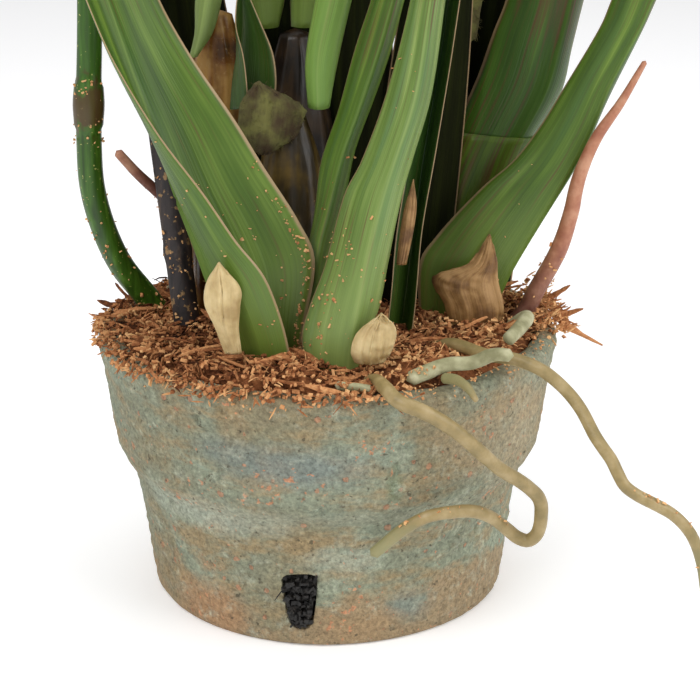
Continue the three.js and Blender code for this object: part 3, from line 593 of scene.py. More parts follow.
def waxy_skin(name, dark, mid, light, rough, dusty):
    """The bulbs' skin: glossy, lined lengthwise, cloudy brown and `dusty` with fine crumbs."""
    material, tree = begin_material(name)
    place = add(tree, "ShaderNodeTexCoord")
    drawn = add(tree, "ShaderNodeMapping", {"Vector": (place, "Object"), "Scale": (330, 330, 16)})
    lines = add(tree, "ShaderNodeTexNoise", {"Vector": (drawn, 0), "Scale": 1.0, "Detail": 4})
    clouds = add(tree, "ShaderNodeTexNoise", {"Vector": (place, "Object"), "Scale": 70, "Detail": 4})
    both = add(tree, "ShaderNodeMath", {0: (lines, "Fac"), 1: 0.45, 2: (clouds, "Fac")},
               operation="MULTIPLY_ADD")
    colour = add(tree, "ShaderNodeValToRGB", {"Fac": (both, 0)}, ramp=[
        (0.55, paint(dark)), (0.72, paint(mid)), (0.88, paint(light))])
    dust = add(tree, "ShaderNodeTexNoise", {"Vector": (place, "Object"), "Scale": 900, "Detail": 2})
    dust_mask = add(tree, "ShaderNodeMapRange", {
        "Value": (dust, "Fac"), "From Min": 0.62, "From Max": 0.7, "To Min": 0.0, "To Max": dusty})
    dusted = add(tree, "ShaderNodeMix", {
        0: (dust_mask, 0), 6: (colour, "Color"), 7: paint("#a98a5a")}, data_type="RGBA")
    polish = add(tree, "ShaderNodeMapRange", {
        "Value": (clouds, "Fac"), "From Min": 0.35, "From Max": 0.7,
        "To Min": rough, "To Max": rough + 0.25})
    bump = add(tree, "ShaderNodeBump", {"Height": (lines, "Fac"), "Strength": 0.5, "Distance": 0.0006})
    shader = add(tree, "ShaderNodeBsdfPrincipled", {
        "Base Color": (dusted, 2), "Roughness": (polish, 0), "Normal": (bump, 0),
        "Coat Weight": 0.12, "Coat Roughness": 0.15, "Specular IOR Level": 0.35})
    close_material(tree, shader)
    return material


olive_skin = waxy_skin("olive_bulb_skin", "#161002", "#2f2205", "#57430f", 0.3, 0.0)
dark_skin = waxy_skin("dark_bulb_skin", "#0b0703", "#1f1407", "#3a270e", 0.3, 0.0)
brown_skin = waxy_skin("brown_bulb_skin", "#3a2208", "#6e4415", "#a17a40", 0.2, 0.4)
BULB_SKINS = {
    "pseudobulb_front": olive_skin,
    "pseudobulb_middle": dark_skin,
    "pseudobulb_left": brown_skin,
    "pseudobulb_right": dark_skin,
    "pseudobulb_rear": olive_skin,
}


def ribbed(seed, ribs, depth):
    """A skin drawn in between lengthwise ribs that wander a little."""

    def skin(t, angle, radius, length):
        wander = 0.5 * noise.noise(Vector((seed, t * 30, 0)))
        wave = math.cos(ribs * (angle + wander))
        crease = noise.noise(Vector((3 * math.cos(angle), 3 * math.sin(angle), t * 60 + seed)))
        return radius * (1 + depth * wave + 0.035 * crease)

    return skin


for seed, (node, skin) in enumerate(BULB_SKINS.items()):
    centres, radii = stem_of(node)
    bulb = sweep(f"{node}_skin", centres, radii, 72, 1.4 * MM, ribbed(seed * 7.3, 9, 0.022), cap=0.35)
    bulb.data.materials.append(skin)
    belongs(bulb, "bulb", node)

# ---- Leaves ------------------------------------------------------------------------------------
# Strap leaves, leathery and thin, folded along the middle with a sharp keel below. Each is one
# sheet grown from the foot of a bulb, thin and a little wavy at its tan-edged margins.


def rows_of(node):
    """A CAD blade's stations: one margin, the half's middle, the fold, the middle and the margin."""
    rings, point = rings_of(node)

    def unevenness(ring, s):
        return sum((ring[(s + i) % 8] - ring[(s - i) % 8]).length for i in (1, 2, 3))

    first = min(range(8), key=lambda s: sum(unevenness(ring, s) for ring in rings))
    rows = []
    for ring in rings:
        turned = ring[first:] + ring[:first]
        rows.append([turned[0], *[(turned[i] + turned[-i]) / 2 for i in (1, 2, 3)], turned[4]])
    if rows[0][0].x > rows[0][4].x:
        rows = [list(reversed(row)) for row in rows]
    return rows, point


def blade_grid(
    node, start=0.0, stop=1.0, columns=18, spacing=2.6 * MM, crown=0.1, wave=0.5, proud=0.0, tip=True
):
    """Points of a blade's middle sheet from `start` to `stop` of its length, with their UVs.

    `crown` rounds each half outward, `wave` ripples the margins in millimetres, and `proud` lifts
    the sheet off the blade on its keel side, in metres."""
    rows, point = rows_of(node)
    if tip:
        rows = rows + [[point.copy() for _ in range(5)]]
    folds = [row[2] for row in rows]
    knots = knots_of(folds)
    tracks = list(zip(*rows))
    length = knots[-1]
    count = max(3, round(length * (stop - start) / spacing))
    seed = sum(map(ord, node)) % 97
    grid, marks = [], []
    for k in range(count + 1):
        share = start + (stop - start) * k / count
        t = length * share
        left, left_mid, fold, right_mid, right = (along(knots, list(track), t) for track in tracks)
        if tip and k == count and stop == 1.0:
            left, right = fold.lerp(left, 0.2), fold.lerp(right, 0.2)
        hollow = (left + right) / 2 - fold
        line, line_marks = [], []
        for c in range(columns + 1):
            s = 2 * c / columns - 1
            edge, middle = (left, left_mid) if s < 0 else (right, right_mid)
            a = abs(s)
            spot = fold * (1 - a) * (1 - 2 * a) + middle * 4 * a * (1 - a) + edge * a * (2 * a - 1)
            half = edge - fold
            inward = hollow - half * (hollow.dot(half) / max(half.length_squared, 1e-12))
            if inward.length > 1e-7:
                inward.normalize()
                lift = crown * half.length * 4 * a * (1 - a)
                ripple = wave * MM * a**3 * noise.noise(Vector((t * 26, s * 2, seed)))
                dent = 0.35 * wave * MM * noise.noise(Vector((t * 14, s * 1.2, seed + 9)))
                spot = spot - inward * (lift + proud - ripple - dent)
                spot = spot + inward * 0.07 * half.length * math.exp(-((a / 0.1) ** 2))
            line.append(spot)
            line_marks.append(((s + 1) / 2, t))
        grid.append(line)
        marks.append(line_marks)
    return grid, marks


def sheet_piece(name, grid, marks, thick, edge=0.25):
    """A closed thin sheet over a grid of points, thinned to `edge` of its thickness at the margins."""
    columns = len(grid[0]) - 1
    points = [p for line in grid for p in line]
    flat_marks = [m for line in marks for m in line]
    faces = []
    for k in range(len(grid) - 1):
        for c in range(columns):
            i = k * (columns + 1) + c
            faces.append((i, i + 1, i + columns + 2, i + columns + 1))
    piece = mesh_piece(name, points, faces)
    uv = piece.data.uv_layers.new(name="blade")
    for loop in piece.data.loops:
        uv.data[loop.index].uv = flat_marks[loop.vertex_index]
    body = piece.vertex_groups.new(name="body")
    for k in range(len(grid)):
        for c in range(columns + 1):
            a = abs(2 * c / columns - 1)
            body.add([k * (columns + 1) + c], 1 - a**4, "REPLACE")
    only(piece)
    wall = piece.modifiers.new("thickness", "SOLIDIFY")
    wall.thickness, wall.offset, wall.use_rim = thick, 0, True
    wall.vertex_group, wall.thickness_vertex_group = "body", edge
    bpy.ops.object.modifier_apply(modifier=wall.name)
    piece.data.polygons.foreach_set("use_smooth", [True] * len(piece.data.polygons))
    return piece


def leaf_skin(name, dark, mid, light, cool, streak, foot="#7da24a", rough=0.42, margin=0.484):
    """Living leaf: a waxy green skin over parallel veins, satin where light rakes it.

    `cool` tints long blue-green zones, `streak` sets how many red-brown lines there are, the
    sheathing `foot` is paler and yellower, and the dry `margin` starts that far from the fold."""
    material, tree = begin_material(name)
    sheet = add(tree, "ShaderNodeUVMap", uv_map="blade")
    across = add(tree, "ShaderNodeSeparateXYZ", {0: (sheet, 0)})
    place = add(tree, "ShaderNodeTexCoord")
    vein_lie = add(tree, "ShaderNodeMapping", {"Vector": (sheet, 0), "Scale": (80, 7, 1)})
    veins = add(tree, "ShaderNodeTexNoise", {"Vector": (vein_lie, 0), "Scale": 1.0, "Detail": 2})
    band_lie = add(tree, "ShaderNodeMapping", {"Vector": (sheet, 0), "Scale": (7, 13, 1)})
    bands = add(tree, "ShaderNodeTexNoise", {"Vector": (band_lie, 0), "Scale": 1.0, "Detail": 3})
    tone = add(tree, "ShaderNodeMath", {0: (veins, "Fac"), 1: 0.34, 2: (bands, "Fac")},
               operation="MULTIPLY_ADD")
    green = add(tree, "ShaderNodeValToRGB", {"Fac": (tone, 0)}, ramp=[
        (0.42, paint(dark)), (0.66, paint(mid)), (0.92, paint(light))])
    cloud = add(tree, "ShaderNodeTexNoise", {"Vector": (place, "Object"), "Scale": 26, "Detail": 2})
    zone_lie = add(tree, "ShaderNodeMapping", {
        "Vector": (sheet, 0), "Scale": (4.2, 7, 1), "Location": (3.1, 1, 0)})
    zones = add(tree, "ShaderNodeTexNoise", {"Vector": (zone_lie, 0), "Scale": 1.0, "Detail": 3})
    cool_mask = add(tree, "ShaderNodeMapRange", {
        "Value": (zones, "Fac"), "From Min": 0.5, "From Max": 0.66, "To Min": 0.0, "To Max": 0.6})
    cooled = add(tree, "ShaderNodeMix", {
        0: (cool_mask, 0), 6: (green, "Color"), 7: paint(cool)}, data_type="RGBA")
    streak_lie = add(tree, "ShaderNodeMapping", {
        "Vector": (sheet, 0), "Scale": (44, 14, 1), "Location": (9, 4, 0)})
    streaks = add(tree, "ShaderNodeTexNoise", {"Vector": (streak_lie, 0), "Scale": 1.0, "Detail": 4})
    streak_sum = add(tree, "ShaderNodeMath", {0: (cloud, "Fac"), 1: 0.55, 2: (streaks, "Fac")},
                     operation="MULTIPLY_ADD")
    streak_mask = add(tree, "ShaderNodeMapRange", {
        "Value": (streak_sum, 0), "From Min": 0.96 - streak, "From Max": 1.1 - streak,
        "To Min": 0.0, "To Max": 0.75})
    streaked = add(tree, "ShaderNodeMix", {
        0: (streak_mask, 0), 6: (cooled, 2), 7: paint("#5a3a22")}, data_type="RGBA")
    foot_mask = add(tree, "ShaderNodeMapRange", {
        "Value": (across, "Y"), "From Min": 0.055, "From Max": 0.012, "To Min": 0.0, "To Max": 0.5})
    footed = add(tree, "ShaderNodeMix", {
        0: (foot_mask, 0), 6: (streaked, 2), 7: paint(foot)}, data_type="RGBA")
    centred = add(tree, "ShaderNodeMath", {0: (across, "X"), 1: 0.5}, operation="SUBTRACT")
    outward = add(tree, "ShaderNodeMath", {0: (centred, 0)}, operation="ABSOLUTE")
    # Painted highlight: the light green is laid along the fold, as if the ridge of the keel caught the
    # light.
    keel_highlight_mask = add(tree, "ShaderNodeMapRange", {
        "Value": (outward, 0), "From Min": 0.022, "From Max": 0.004, "To Min": 0.0, "To Max": 0.45})
    keel_highlit = add(tree, "ShaderNodeMix", {
        0: (keel_highlight_mask, 0), 6: (footed, 2), 7: paint(light)}, data_type="RGBA")
    frayed = add(tree, "ShaderNodeMath", {0: (streaks, "Fac"), 1: 0.012, 2: (outward, 0)},
                 operation="MULTIPLY_ADD")
    margin_mask = add(tree, "ShaderNodeMapRange", {
        "Value": (frayed, 0), "From Min": margin, "From Max": margin + 0.012, "To Min": 0.0, "To Max": 0.9})
    edged = add(tree, "ShaderNodeMix", {
        0: (margin_mask, 0), 6: (keel_highlit, 2), 7: paint("#a58a68")}, data_type="RGBA")
    bump = add(tree, "ShaderNodeBump", {"Height": (veins, "Fac"), "Strength": 0.32, "Distance": 0.0006})
    shader = add(tree, "ShaderNodeBsdfPrincipled", {
        "Base Color": (edged, 2), "Roughness": rough, "Normal": (bump, 0),
        "Specular IOR Level": 0.4, "Subsurface Weight": 0.06,
        "Subsurface Radius": (0.002, 0.004, 0.001)})
    close_material(tree, shader)
    return material


fresh_green = leaf_skin("fresh_leaf", "#2c4610", "#486417", "#6c8632", "#3b5c2e", 0.1, foot="#7d9040")
front_green = leaf_skin("front_leaf", "#466022", "#667f38", "#8c9f58", "#50724c", 0.09, foot="#8a9a58")
deep_green = leaf_skin("deep_leaf", "#253e08", "#37580d", "#4e701c", "#2c4c12", 0.2, foot="#5a7018")
# The shaded_leaf copy is painted shade: the same leaf skin made darker for the rear leaves and the torn
# leaf, which stand in shadow.
shade_green = leaf_skin("shaded_leaf", "#132606", "#203b0b", "#365419", "#1a3722", 0.1, foot="#3f5a1a")
sheath_green = leaf_skin("sheath_green", "#32460a", "#4a640c", "#6a8022", "#36541a", 0.22, foot="#6a8022")

stub_green = leaf_skin("stub_leaf", "#4b6728", "#6a8a38", "#8ea356", "#55795a", 0.06, margin=0.455)

LEAVES = {
    "leaf_front_left": (fresh_green, 0.1),
    "leaf_inner": (fresh_green, 0.08),
    "leaf_front": (front_green, 0.1),
    "leaf_right": (fresh_green, 0.16),
    "leaf_cut": (stub_green, 0.2),
    "leaf_left_inner": (front_green, 0.12),
    "leaf_dark": (shade_green, 0.08),
    "leaf_left_rear": (shade_green, 0.1),
    "leaf_middle_left": (fresh_green, 0.1),
    "leaf_middle_right": (fresh_green, 0.1),
    "leaf_back_1": (shade_green, 0.1),
    "leaf_back_2": (fresh_green, 0.1),
    "leaf_back_3": (fresh_green, 0.1),
    "leaf_back_4": (shade_green, 0.1),
    "leaf_back_5": (fresh_green, 0.1),
}
LEAF_THICKNESS = 1.0 * MM
blade_sheets = {}
for node, (skin, crown) in LEAVES.items():
    grid, marks = blade_grid(node, crown=crown)
    blade_sheets[node] = grid
    leaf = sheet_piece(f"{node}_blade", grid, marks, LEAF_THICKNESS)
    leaf.data.materials.append(skin)
    belongs(leaf, "leaf_shaded" if skin is shade_green else "leaf", node)

# The right rear leaf keeps its sheath: the blade leaves it at a joint line, where it will one day
# drop off. The sheath is a second layer, a little wider and yellower.
JOINT = 0.2
grid, marks = blade_grid("leaf_right_rear", start=JOINT - 0.03, crown=0.1)
blade_sheets["leaf_right_rear"] = grid
leaf = sheet_piece("leaf_right_rear_blade", grid, marks, LEAF_THICKNESS)
leaf.data.materials.append(deep_green)
belongs(leaf, "leaf_shaded", "leaf_right_rear")
grid, marks = blade_grid("leaf_right_rear", stop=JOINT, crown=0.12, proud=0.7 * MM, tip=False)
sheath = sheet_piece("leaf_right_rear_sheath", grid, marks, LEAF_THICKNESS, edge=0.5)
sheath.data.materials.append(sheath_green)
belongs(sheath, "leaf_shaded")

# The small leaf that tore off on the front bulb.
grid, marks = blade_grid("leaf_torn", crown=0.1, spacing=1.2 * MM, columns=12, wave=0.8)
leaf = sheet_piece("leaf_torn_blade", grid, marks, 0.8 * MM)
leaf.data.materials.append(shade_green)
belongs(leaf, "leaf", "leaf_torn")

# Painted shade: near-black straps, shaped like old leaf bases, stand packed together behind the
# front bulbs and close the clump where its gaps fall in shadow; each is a plain strap that narrows upward.
# The strap skin is painted shade: near-black greens that stand for the shadow between the leaves.
shade_strap_skin = leaf_skin(
    "painted_shade_strap", "#0b0c03", "#161905", "#232809", "#121a08", -0.2, foot="#140f06", rough=0.9)
shade_strap_skin.node_tree.nodes["Principled BSDF"].inputs["Specular IOR Level"].default_value = 0.1
for number, (x, y, lean, top) in enumerate((
    (-31, 2, -0.12, 232), (-12, 12, -0.04, 240), (7, 10, 0.02, 236), (25, 6, 0.1, 228), (50, 36, 0.1, 236),
)):
    grid, marks = [], []
    for k in range(31):
        z = 88 + (top - 88) * k / 30
        half = 14 * (1 - 0.45 * (k / 30) ** 3) * (1 if k < 30 else 0.6)
        line = [Vector((x + lean * (z - 88) + half * s, y + 5 * s * s + 0.02 * (z - 88), z)) * MM
                for s in (c / 6 - 1 for c in range(13))]
        grid.append(line)
        marks.append([(c / 12, (z - 60) * MM) for c in range(13)])
    strap = sheet_piece(f"painted_shade_strap_{number + 1}", grid, marks, 0.8 * MM)
    strap.data.materials.append(shade_strap_skin)
    belongs(strap, "leaf_shaded")

# ---- Dry sheaths -------------------------------------------------------------------------------
# Leaf bases that died back: cream paper-thin bracts that curl and crease, a translucent one at the
# right with torn edges, and two felted brown remnants that still cling to their bulbs.


def dry_skin(name, pale, warm, dark, rough, fibre):
    """Dead sheath tissue: matt, finely ribbed, its colour drawn out along the fibres."""
    material, tree = begin_material(name)
    sheet = add(tree, "ShaderNodeUVMap", uv_map="blade")
    place = add(tree, "ShaderNodeTexCoord")
    lie = add(tree, "ShaderNodeMapping", {"Vector": (sheet, 0), "Scale": (30, 70, 1)})
    fibres = add(tree, "ShaderNodeTexNoise", {"Vector": (lie, 0), "Scale": 1.0, "Detail": 4})
    cloud = add(tree, "ShaderNodeTexNoise", {"Vector": (place, "Object"), "Scale": 160, "Detail": 4})
    tone = add(tree, "ShaderNodeMath", {0: (fibres, "Fac"), 1: fibre, 2: (cloud, "Fac")},
               operation="MULTIPLY_ADD")
    colour = add(tree, "ShaderNodeValToRGB", {"Fac": (tone, 0)}, ramp=[
        (0.35 + fibre / 2, paint(dark)), (0.5 + fibre / 2, paint(warm)), (0.62 + fibre / 2, paint(pale))])
    bump = add(tree, "ShaderNodeBump", {"Height": (tone, 0), "Strength": 0.5, "Distance": 0.0008})
    shader = add(tree, "ShaderNodeBsdfPrincipled", {
        "Base Color": (colour, "Color"), "Roughness": rough, "Normal": (bump, 0),
        "Subsurface Weight": 0.15, "Subsurface Radius": (0.003, 0.002, 0.001)})
    close_material(tree, shader)
    return material


cream_paper = dry_skin("cream_bract", "#cbb585", "#bda574", "#a58b5c", 0.6, 0.15)
tan_paper = dry_skin("tan_sheath", "#a98352", "#8f6a3c", "#6d4c2a", 0.6, 0.4)
felt = dry_skin("felted_sheath", "#6a6836", "#544e2a", "#43341f", 0.95, 0.2)
SHEATHS = {
    "bract_left": (cream_paper, 1.4, 0.55, "papery"),
    "bract_front": (cream_paper, 3.2, 0.5, "papery"),
    "sheath_right": (tan_paper, 1.6, 0.4, "papery"),
    "sheath_strip": (tan_paper, 0.8, 0.35, "papery"),
    "fibrous_sheath": (felt, 1.6, 0.9, "fibrous"),
    "fibrous_collar": (felt, 1.6, 0.9, "fibrous"),
}
for node, (skin, crease, thick, slot) in SHEATHS.items():
    grid, marks = blade_grid(node, crown=0.06, spacing=0.7 * MM, columns=26, wave=crease)
    last = len(grid) - 1
    for k, line in enumerate(grid):
        for c, spot in enumerate(line):
            fold = noise.noise(Vector((c * 0.45, k * 0.06, len(node)))) * 0.35 * crease
            pleat = 0.25 * crease * math.sin(1.3 * k + 0.35 * c) * max(0.0, grain(spot, 7, 3))
            ragged = grain(spot, 1.6, 5) * (0.8 if slot == "fibrous" or node == "sheath_right" else 0.2)
            edge = max(abs(2 * c / 26 - 1), (k / last) ** 3) ** 5
            line[c] = spot + Vector((0, -(fold + pleat), ragged * edge)) * MM
    piece = sheet_piece(f"{node}_skin", grid, marks, thick * MM, edge=0.5)
    piece.data.materials.append(skin)
    belongs(piece, slot, node)

# Loose hairs stand on the felt and along its torn edge.
points, faces = [], []
rng = random.Random(29)
for node in ("fibrous_sheath", "fibrous_collar"):
    grid, marks = blade_grid(node, crown=0.06, spacing=0.7 * MM, columns=26)
    for _ in range(520):
        line = rng.choice(grid[:-2])
        spot = rng.choice(line)
        lean = Vector((rng.uniform(-1, 1), rng.uniform(-1, -0.1), rng.uniform(-1.2, 0.8))).normalized()
        reach = rng.uniform(0.8, 2.6) * MM
        strand(points, faces, [spot + lean * reach * t for t in (0, 0.5, 1)], rng.uniform(0.05, 0.11) * MM)
hairs = mesh_piece("felt_hairs", points, faces)
hairs.data.uv_layers.new(name="blade")
hairs.data.materials.append(felt)
belongs(hairs, "fibrous")

# ---- Flower spike and cane ---------------------------------------------------------------------
# A smooth green stalk, thick as a pencil, with a dry sheath at each node. It is tied to a dark cane.


def height_on(centres, z):
    """The point of a rising centre line at one height."""
    return along([c.z for c in centres], centres, z)


NODES = (163, 236, 300)
spike_centres, spike_radii = stem_of("flower_spike")
spike_knots = knots_of(spike_centres)
rise = [c.z / MM for c in spike_centres]


def noded(t, angle, radius, length):
    """The spike's radius with a slight swelling and a wrapped sheath at every node."""
    z = along(spike_knots, rise, t)
    swelling = sum(0.5 * math.exp(-(((z - node) / 5) ** 2)) for node in NODES)
    sheath = sum(0.55 for node in NODES if abs(z - node) < 8 + 1.5 * math.sin(2 * angle + node))
    ribs = 0.06 * math.cos(11 * angle) + 0.1 * math.cos(3 * angle + t * 20)
    return radius + (swelling + sheath + ribs) * MM


spike = sweep("flower_spike_stalk", spike_centres, spike_radii, 30, 1.5 * MM, noded)
green_stalk, tree = begin_material("green_stalk")
place = add(tree, "ShaderNodeTexCoord")
height = add(tree, "ShaderNodeSeparateXYZ", {0: (place, "Object")})
drawn = add(tree, "ShaderNodeMapping", {"Vector": (place, "Object"), "Scale": (500, 500, 30)})
lines = add(tree, "ShaderNodeTexNoise", {"Vector": (drawn, 0), "Scale": 1.0, "Detail": 3})
stalk_green = add(tree, "ShaderNodeValToRGB", {"Fac": (lines, "Fac")}, ramp=[
    (0.3, paint("#223f08")), (0.55, paint("#365c10")), (0.75, paint("#527a26"))])
flecks = add(tree, "ShaderNodeTexNoise", {"Vector": (place, "Object"), "Scale": 900, "Detail": 1})
fleck_mask = add(tree, "ShaderNodeMapRange", {
    "Value": (flecks, "Fac"), "From Min": 0.7, "From Max": 0.74, "To Min": 0.0, "To Max": 0.7})
flecked = add(tree, "ShaderNodeMix", {
    0: (fleck_mask, 0), 6: (stalk_green, "Color"), 7: paint("#b9b56a")}, data_type="RGBA")
stalk_coat = flecked
ragged = add(tree, "ShaderNodeTexNoise", {"Vector": (place, "Object"), "Scale": 240, "Detail": 3})
for node in NODES:
    gap = add(tree, "ShaderNodeMath", {0: (height, "Z"), 1: node * MM}, operation="SUBTRACT")
    apart = add(tree, "ShaderNodeMath", {0: (gap, 0)}, operation="ABSOLUTE")
    frayed = add(tree, "ShaderNodeMath", {0: (ragged, "Fac"), 1: 0.03, 2: (apart, 0)},
                 operation="MULTIPLY_ADD")
    band = add(tree, "ShaderNodeMapRange", {
        "Value": (frayed, 0), "From Min": 0.0245, "From Max": 0.0195, "To Min": 0.0, "To Max": 0.85})
    stalk_coat = add(tree, "ShaderNodeMix", {
        0: (band, 0), 6: (stalk_coat, 2), 7: paint("#4d3218")}, data_type="RGBA")
shader = add(tree, "ShaderNodeBsdfPrincipled", {
    "Base Color": (stalk_coat, 2), "Roughness": 0.38, "Specular IOR Level": 0.45})
close_material(tree, shader)
spike.data.materials.append(green_stalk)
belongs(spike, "stem", "flower_spike")

# A thin cane stained almost black, with tan flecks where the bark has chipped and low knuckles.
cane_centres, cane_radii = stem_of("support_cane")


def knuckled(t, angle, radius, length):
    """The cane's radius, with a low ring at each knuckle and a furrow down one side."""
    z = t / MM
    knuckle = sum(0.5 * math.exp(-(((z - at) / 2.2) ** 2)) for at in (34, 96, 168, 232))
    return radius + (knuckle - 0.25 * math.exp(-(((angle - 2) / 0.4) ** 2)) + 0.1 * math.sin(5 * angle)) * MM


cane = sweep("support_cane_stick", cane_centres, cane_radii, 28, 1.6 * MM, knuckled)
stained, tree = begin_material("stained_cane")
place = add(tree, "ShaderNodeTexCoord")
drawn = add(tree, "ShaderNodeMapping", {"Vector": (place, "Object"), "Scale": (420, 420, 60)})
bark = add(tree, "ShaderNodeTexNoise", {"Vector": (drawn, 0), "Scale": 1.0, "Detail": 4})
dark_bark = add(tree, "ShaderNodeValToRGB", {"Fac": (bark, "Fac")}, ramp=[
    (0.35, paint("#150f10")), (0.55, paint("#2a2120")), (0.72, paint("#4b3b30"))])
chips = add(tree, "ShaderNodeTexNoise", {"Vector": (place, "Object"), "Scale": 420, "Detail": 3})
chip_mask = add(tree, "ShaderNodeMapRange", {
    "Value": (chips, "Fac"), "From Min": 0.6, "From Max": 0.65, "To Min": 0.0, "To Max": 0.85})
chipped = add(tree, "ShaderNodeMix", {
    0: (chip_mask, 0), 6: (dark_bark, "Color"), 7: paint("#8f6f45")}, data_type="RGBA")
bump = add(tree, "ShaderNodeBump", {"Height": (chips, "Fac"), "Strength": 0.5, "Distance": 0.0006})
shader = add(tree, "ShaderNodeBsdfPrincipled", {
    "Base Color": (chipped, 2), "Roughness": 0.6, "Normal": (bump, 0)})
close_material(tree, shader)
cane.data.materials.append(stained)
belongs(cane, "cane", "support_cane")

# ---- Raffia ties -------------------------------------------------------------------------------
# Two raffia ties: each is four turns of flat palm fibre round stalk and cane, with a knot in front.
raffia, tree = begin_material("raffia")
place = add(tree, "ShaderNodeTexCoord")
weave = add(tree, "ShaderNodeTexNoise", {"Vector": (place, "Object"), "Scale": 900, "Detail": 3})
straw = add(tree, "ShaderNodeValToRGB", {"Fac": (weave, "Fac")}, ramp=[
    (0.35, paint("#8f7440")), (0.55, paint("#b99c62")), (0.75, paint("#d8c08a"))])
shader = add(tree, "ShaderNodeBsdfPrincipled", {"Base Color": (straw, "Color"), "Roughness": 0.7})
close_material(tree, shader)
rng = random.Random(41)
for name, z in (("tie_lower", 258), ("tie_upper", 306)):
    stalk_at, cane_at = height_on(spike_centres, z * MM), height_on(cane_centres, z * MM)
    reach = (cane_at - stalk_at)
    ahead = Vector((reach.x, reach.y, 0)).normalized()
    aside = Vector((-ahead.y, ahead.x, 0))
    turns = []
    for turn in range(4):
        lift = (turn - 1.5) * 1.05
        loop = []
        for centre, first in ((cane_at, -90), (stalk_at, 90)):
            for step in range(9):
                angle = math.radians(first + 180 * step / 8)
                radius = (5.5 + 0.2 * rng.random()) * MM
                spot = Vector((centre.x, centre.y, (z + lift + rng.uniform(-0.2, 0.2)) * MM))
                loop.append(spot + (ahead * math.cos(angle) + aside * math.sin(angle)) * radius)
        loop.append(loop[0] + Vector((0, 0, 0.3 * MM)))
        turns.append(sweep(f"{name}_turn", loop, [0.62 * MM] * len(loop), 8, 1.2 * MM))
    front = (stalk_at + cane_at) / 2 + aside * (6.2 if aside.y < 0 else -6.2) * MM
    front.z = z * MM
    turns.append(sweep(f"{name}_knot", [front + Vector((-2.4, -0.2, -1)) * MM, front,
                       front + Vector((2.4, -0.2, 1)) * MM], [1.0 * MM, 1.7 * MM, 1.0 * MM], 10, 0.6 * MM))
    for lean in (-1, 1):
        tail = [front + Vector((lean * 3.2 * t, -1.6 * t, -(7 + 2 * lean) * t * t)) * MM
                for t in (0, 0.4, 0.8, 1.2)]
        turns.append(sweep(f"{name}_tail", tail, [0.6 * MM, 0.7 * MM, 0.6 * MM, 0.4 * MM], 6, 0.8 * MM))
    bpy.ops.object.select_all(action="DESELECT")
    for turn in turns:
        turn.select_set(True)
    bpy.context.view_layer.objects.active = turns[0]
    bpy.ops.object.join()
    turns[0].name = f"{name}_raffia"
    turns[0].data.materials.append(raffia)
    belongs(turns[0], "raffia", name)

# ---- Roots -------------------------------------------------------------------------------------
# Aerial roots: round and a little lumpy. The old ones are khaki, the short thick ones keep their
# pale spongy velamen, and the young ones are pink with a rounded tip.


def root_skin(name, low, mid, high, foot, foot_reach, rough):
    """Root bark that changes from `foot` at its base over the first `foot_reach` metres."""
    material, tree = begin_material(name)
    sheet = add(tree, "ShaderNodeUVMap", uv_map="skin")
    split = add(tree, "ShaderNodeSeparateXYZ", {0: (sheet, 0)})
    place = add(tree, "ShaderNodeTexCoord")
    cloud = add(tree, "ShaderNodeTexNoise", {"Vector": (place, "Object"), "Scale": 190, "Detail": 5})
    colour = add(tree, "ShaderNodeValToRGB", {"Fac": (cloud, "Fac")}, ramp=[
        (0.35, paint(low)), (0.52, paint(mid)), (0.68, paint(high))])
    wander = add(tree, "ShaderNodeMath", {0: (cloud, "Fac"), 1: 0.02, 2: (split, "Y")},
                 operation="MULTIPLY_ADD")
    foot_mask = add(tree, "ShaderNodeMapRange", {
        "Value": (wander, 0), "From Min": foot_reach, "From Max": foot_reach * 0.45,
        "To Min": 0.0, "To Max": 0.85})
    footed = add(tree, "ShaderNodeMix", {
        0: (foot_mask, 0), 6: (colour, "Color"), 7: paint(foot)}, data_type="RGBA")
    fine = add(tree, "ShaderNodeTexNoise", {"Vector": (place, "Object"), "Scale": 800, "Detail": 3})
    bump = add(tree, "ShaderNodeBump", {"Height": (fine, "Fac"), "Strength": 0.4, "Distance": 0.0006})
    shader = add(tree, "ShaderNodeBsdfPrincipled", {
        "Base Color": (footed, 2), "Roughness": rough, "Normal": (bump, 0)})
    close_material(tree, shader)
    return material


khaki = root_skin("khaki_root", "#857449", "#988457", "#a8946a", "#8d8a60", 0.03, 0.42)
velamen = root_skin("pale_velamen", "#878460", "#a3a07c", "#bcb896", "#8d8a66", 0.01, 0.72)
pink = root_skin("pink_root", "#9c6047", "#ad7457", "#bd8a6c", "#54302a", 0.05, 0.5)
ROOTS = {
    "root_hanging": (khaki, 0.035, "root"),
    "root_looping": (khaki, 0.05, "root"),
    "root_stub": (khaki, 0.08, "root"),
    "root_pink": (pink, 0.035, "root_pink"),
    "root_tip_left": (pink, 0.05, "root_pink"),
    "root_pale_thick": (velamen, 0.12, "root_pale"),
    "root_pale_small": (velamen, 0.12, "root_pale"),
    "root_pale_right": (velamen, 0.1, "root_pale"),
}


def lumpy(seed, depth):
    """A root's skin, with low swellings and a few tight places."""

    def skin(t, angle, radius, length):
        swelling = noise.noise(Vector((t * 95, seed, 0)))
        side = noise.noise(Vector((2.2 * math.cos(angle), 2.2 * math.sin(angle), t * 190 + seed)))
        return radius * (1 + depth * swelling + 0.6 * depth * side)

    return skin


root_lines = {}
for seed, (node, (skin, depth, slot)) in enumerate(ROOTS.items()):
    centres, radii = stem_of(node)
    root_lines[node] = centres
    root = sweep(f"{node}_skin", centres, radii, 24, 1.0 * MM, lumpy(seed * 3.7, depth), cap=0.8)
    root.data.materials.append(skin)
    belongs(root, slot, node)
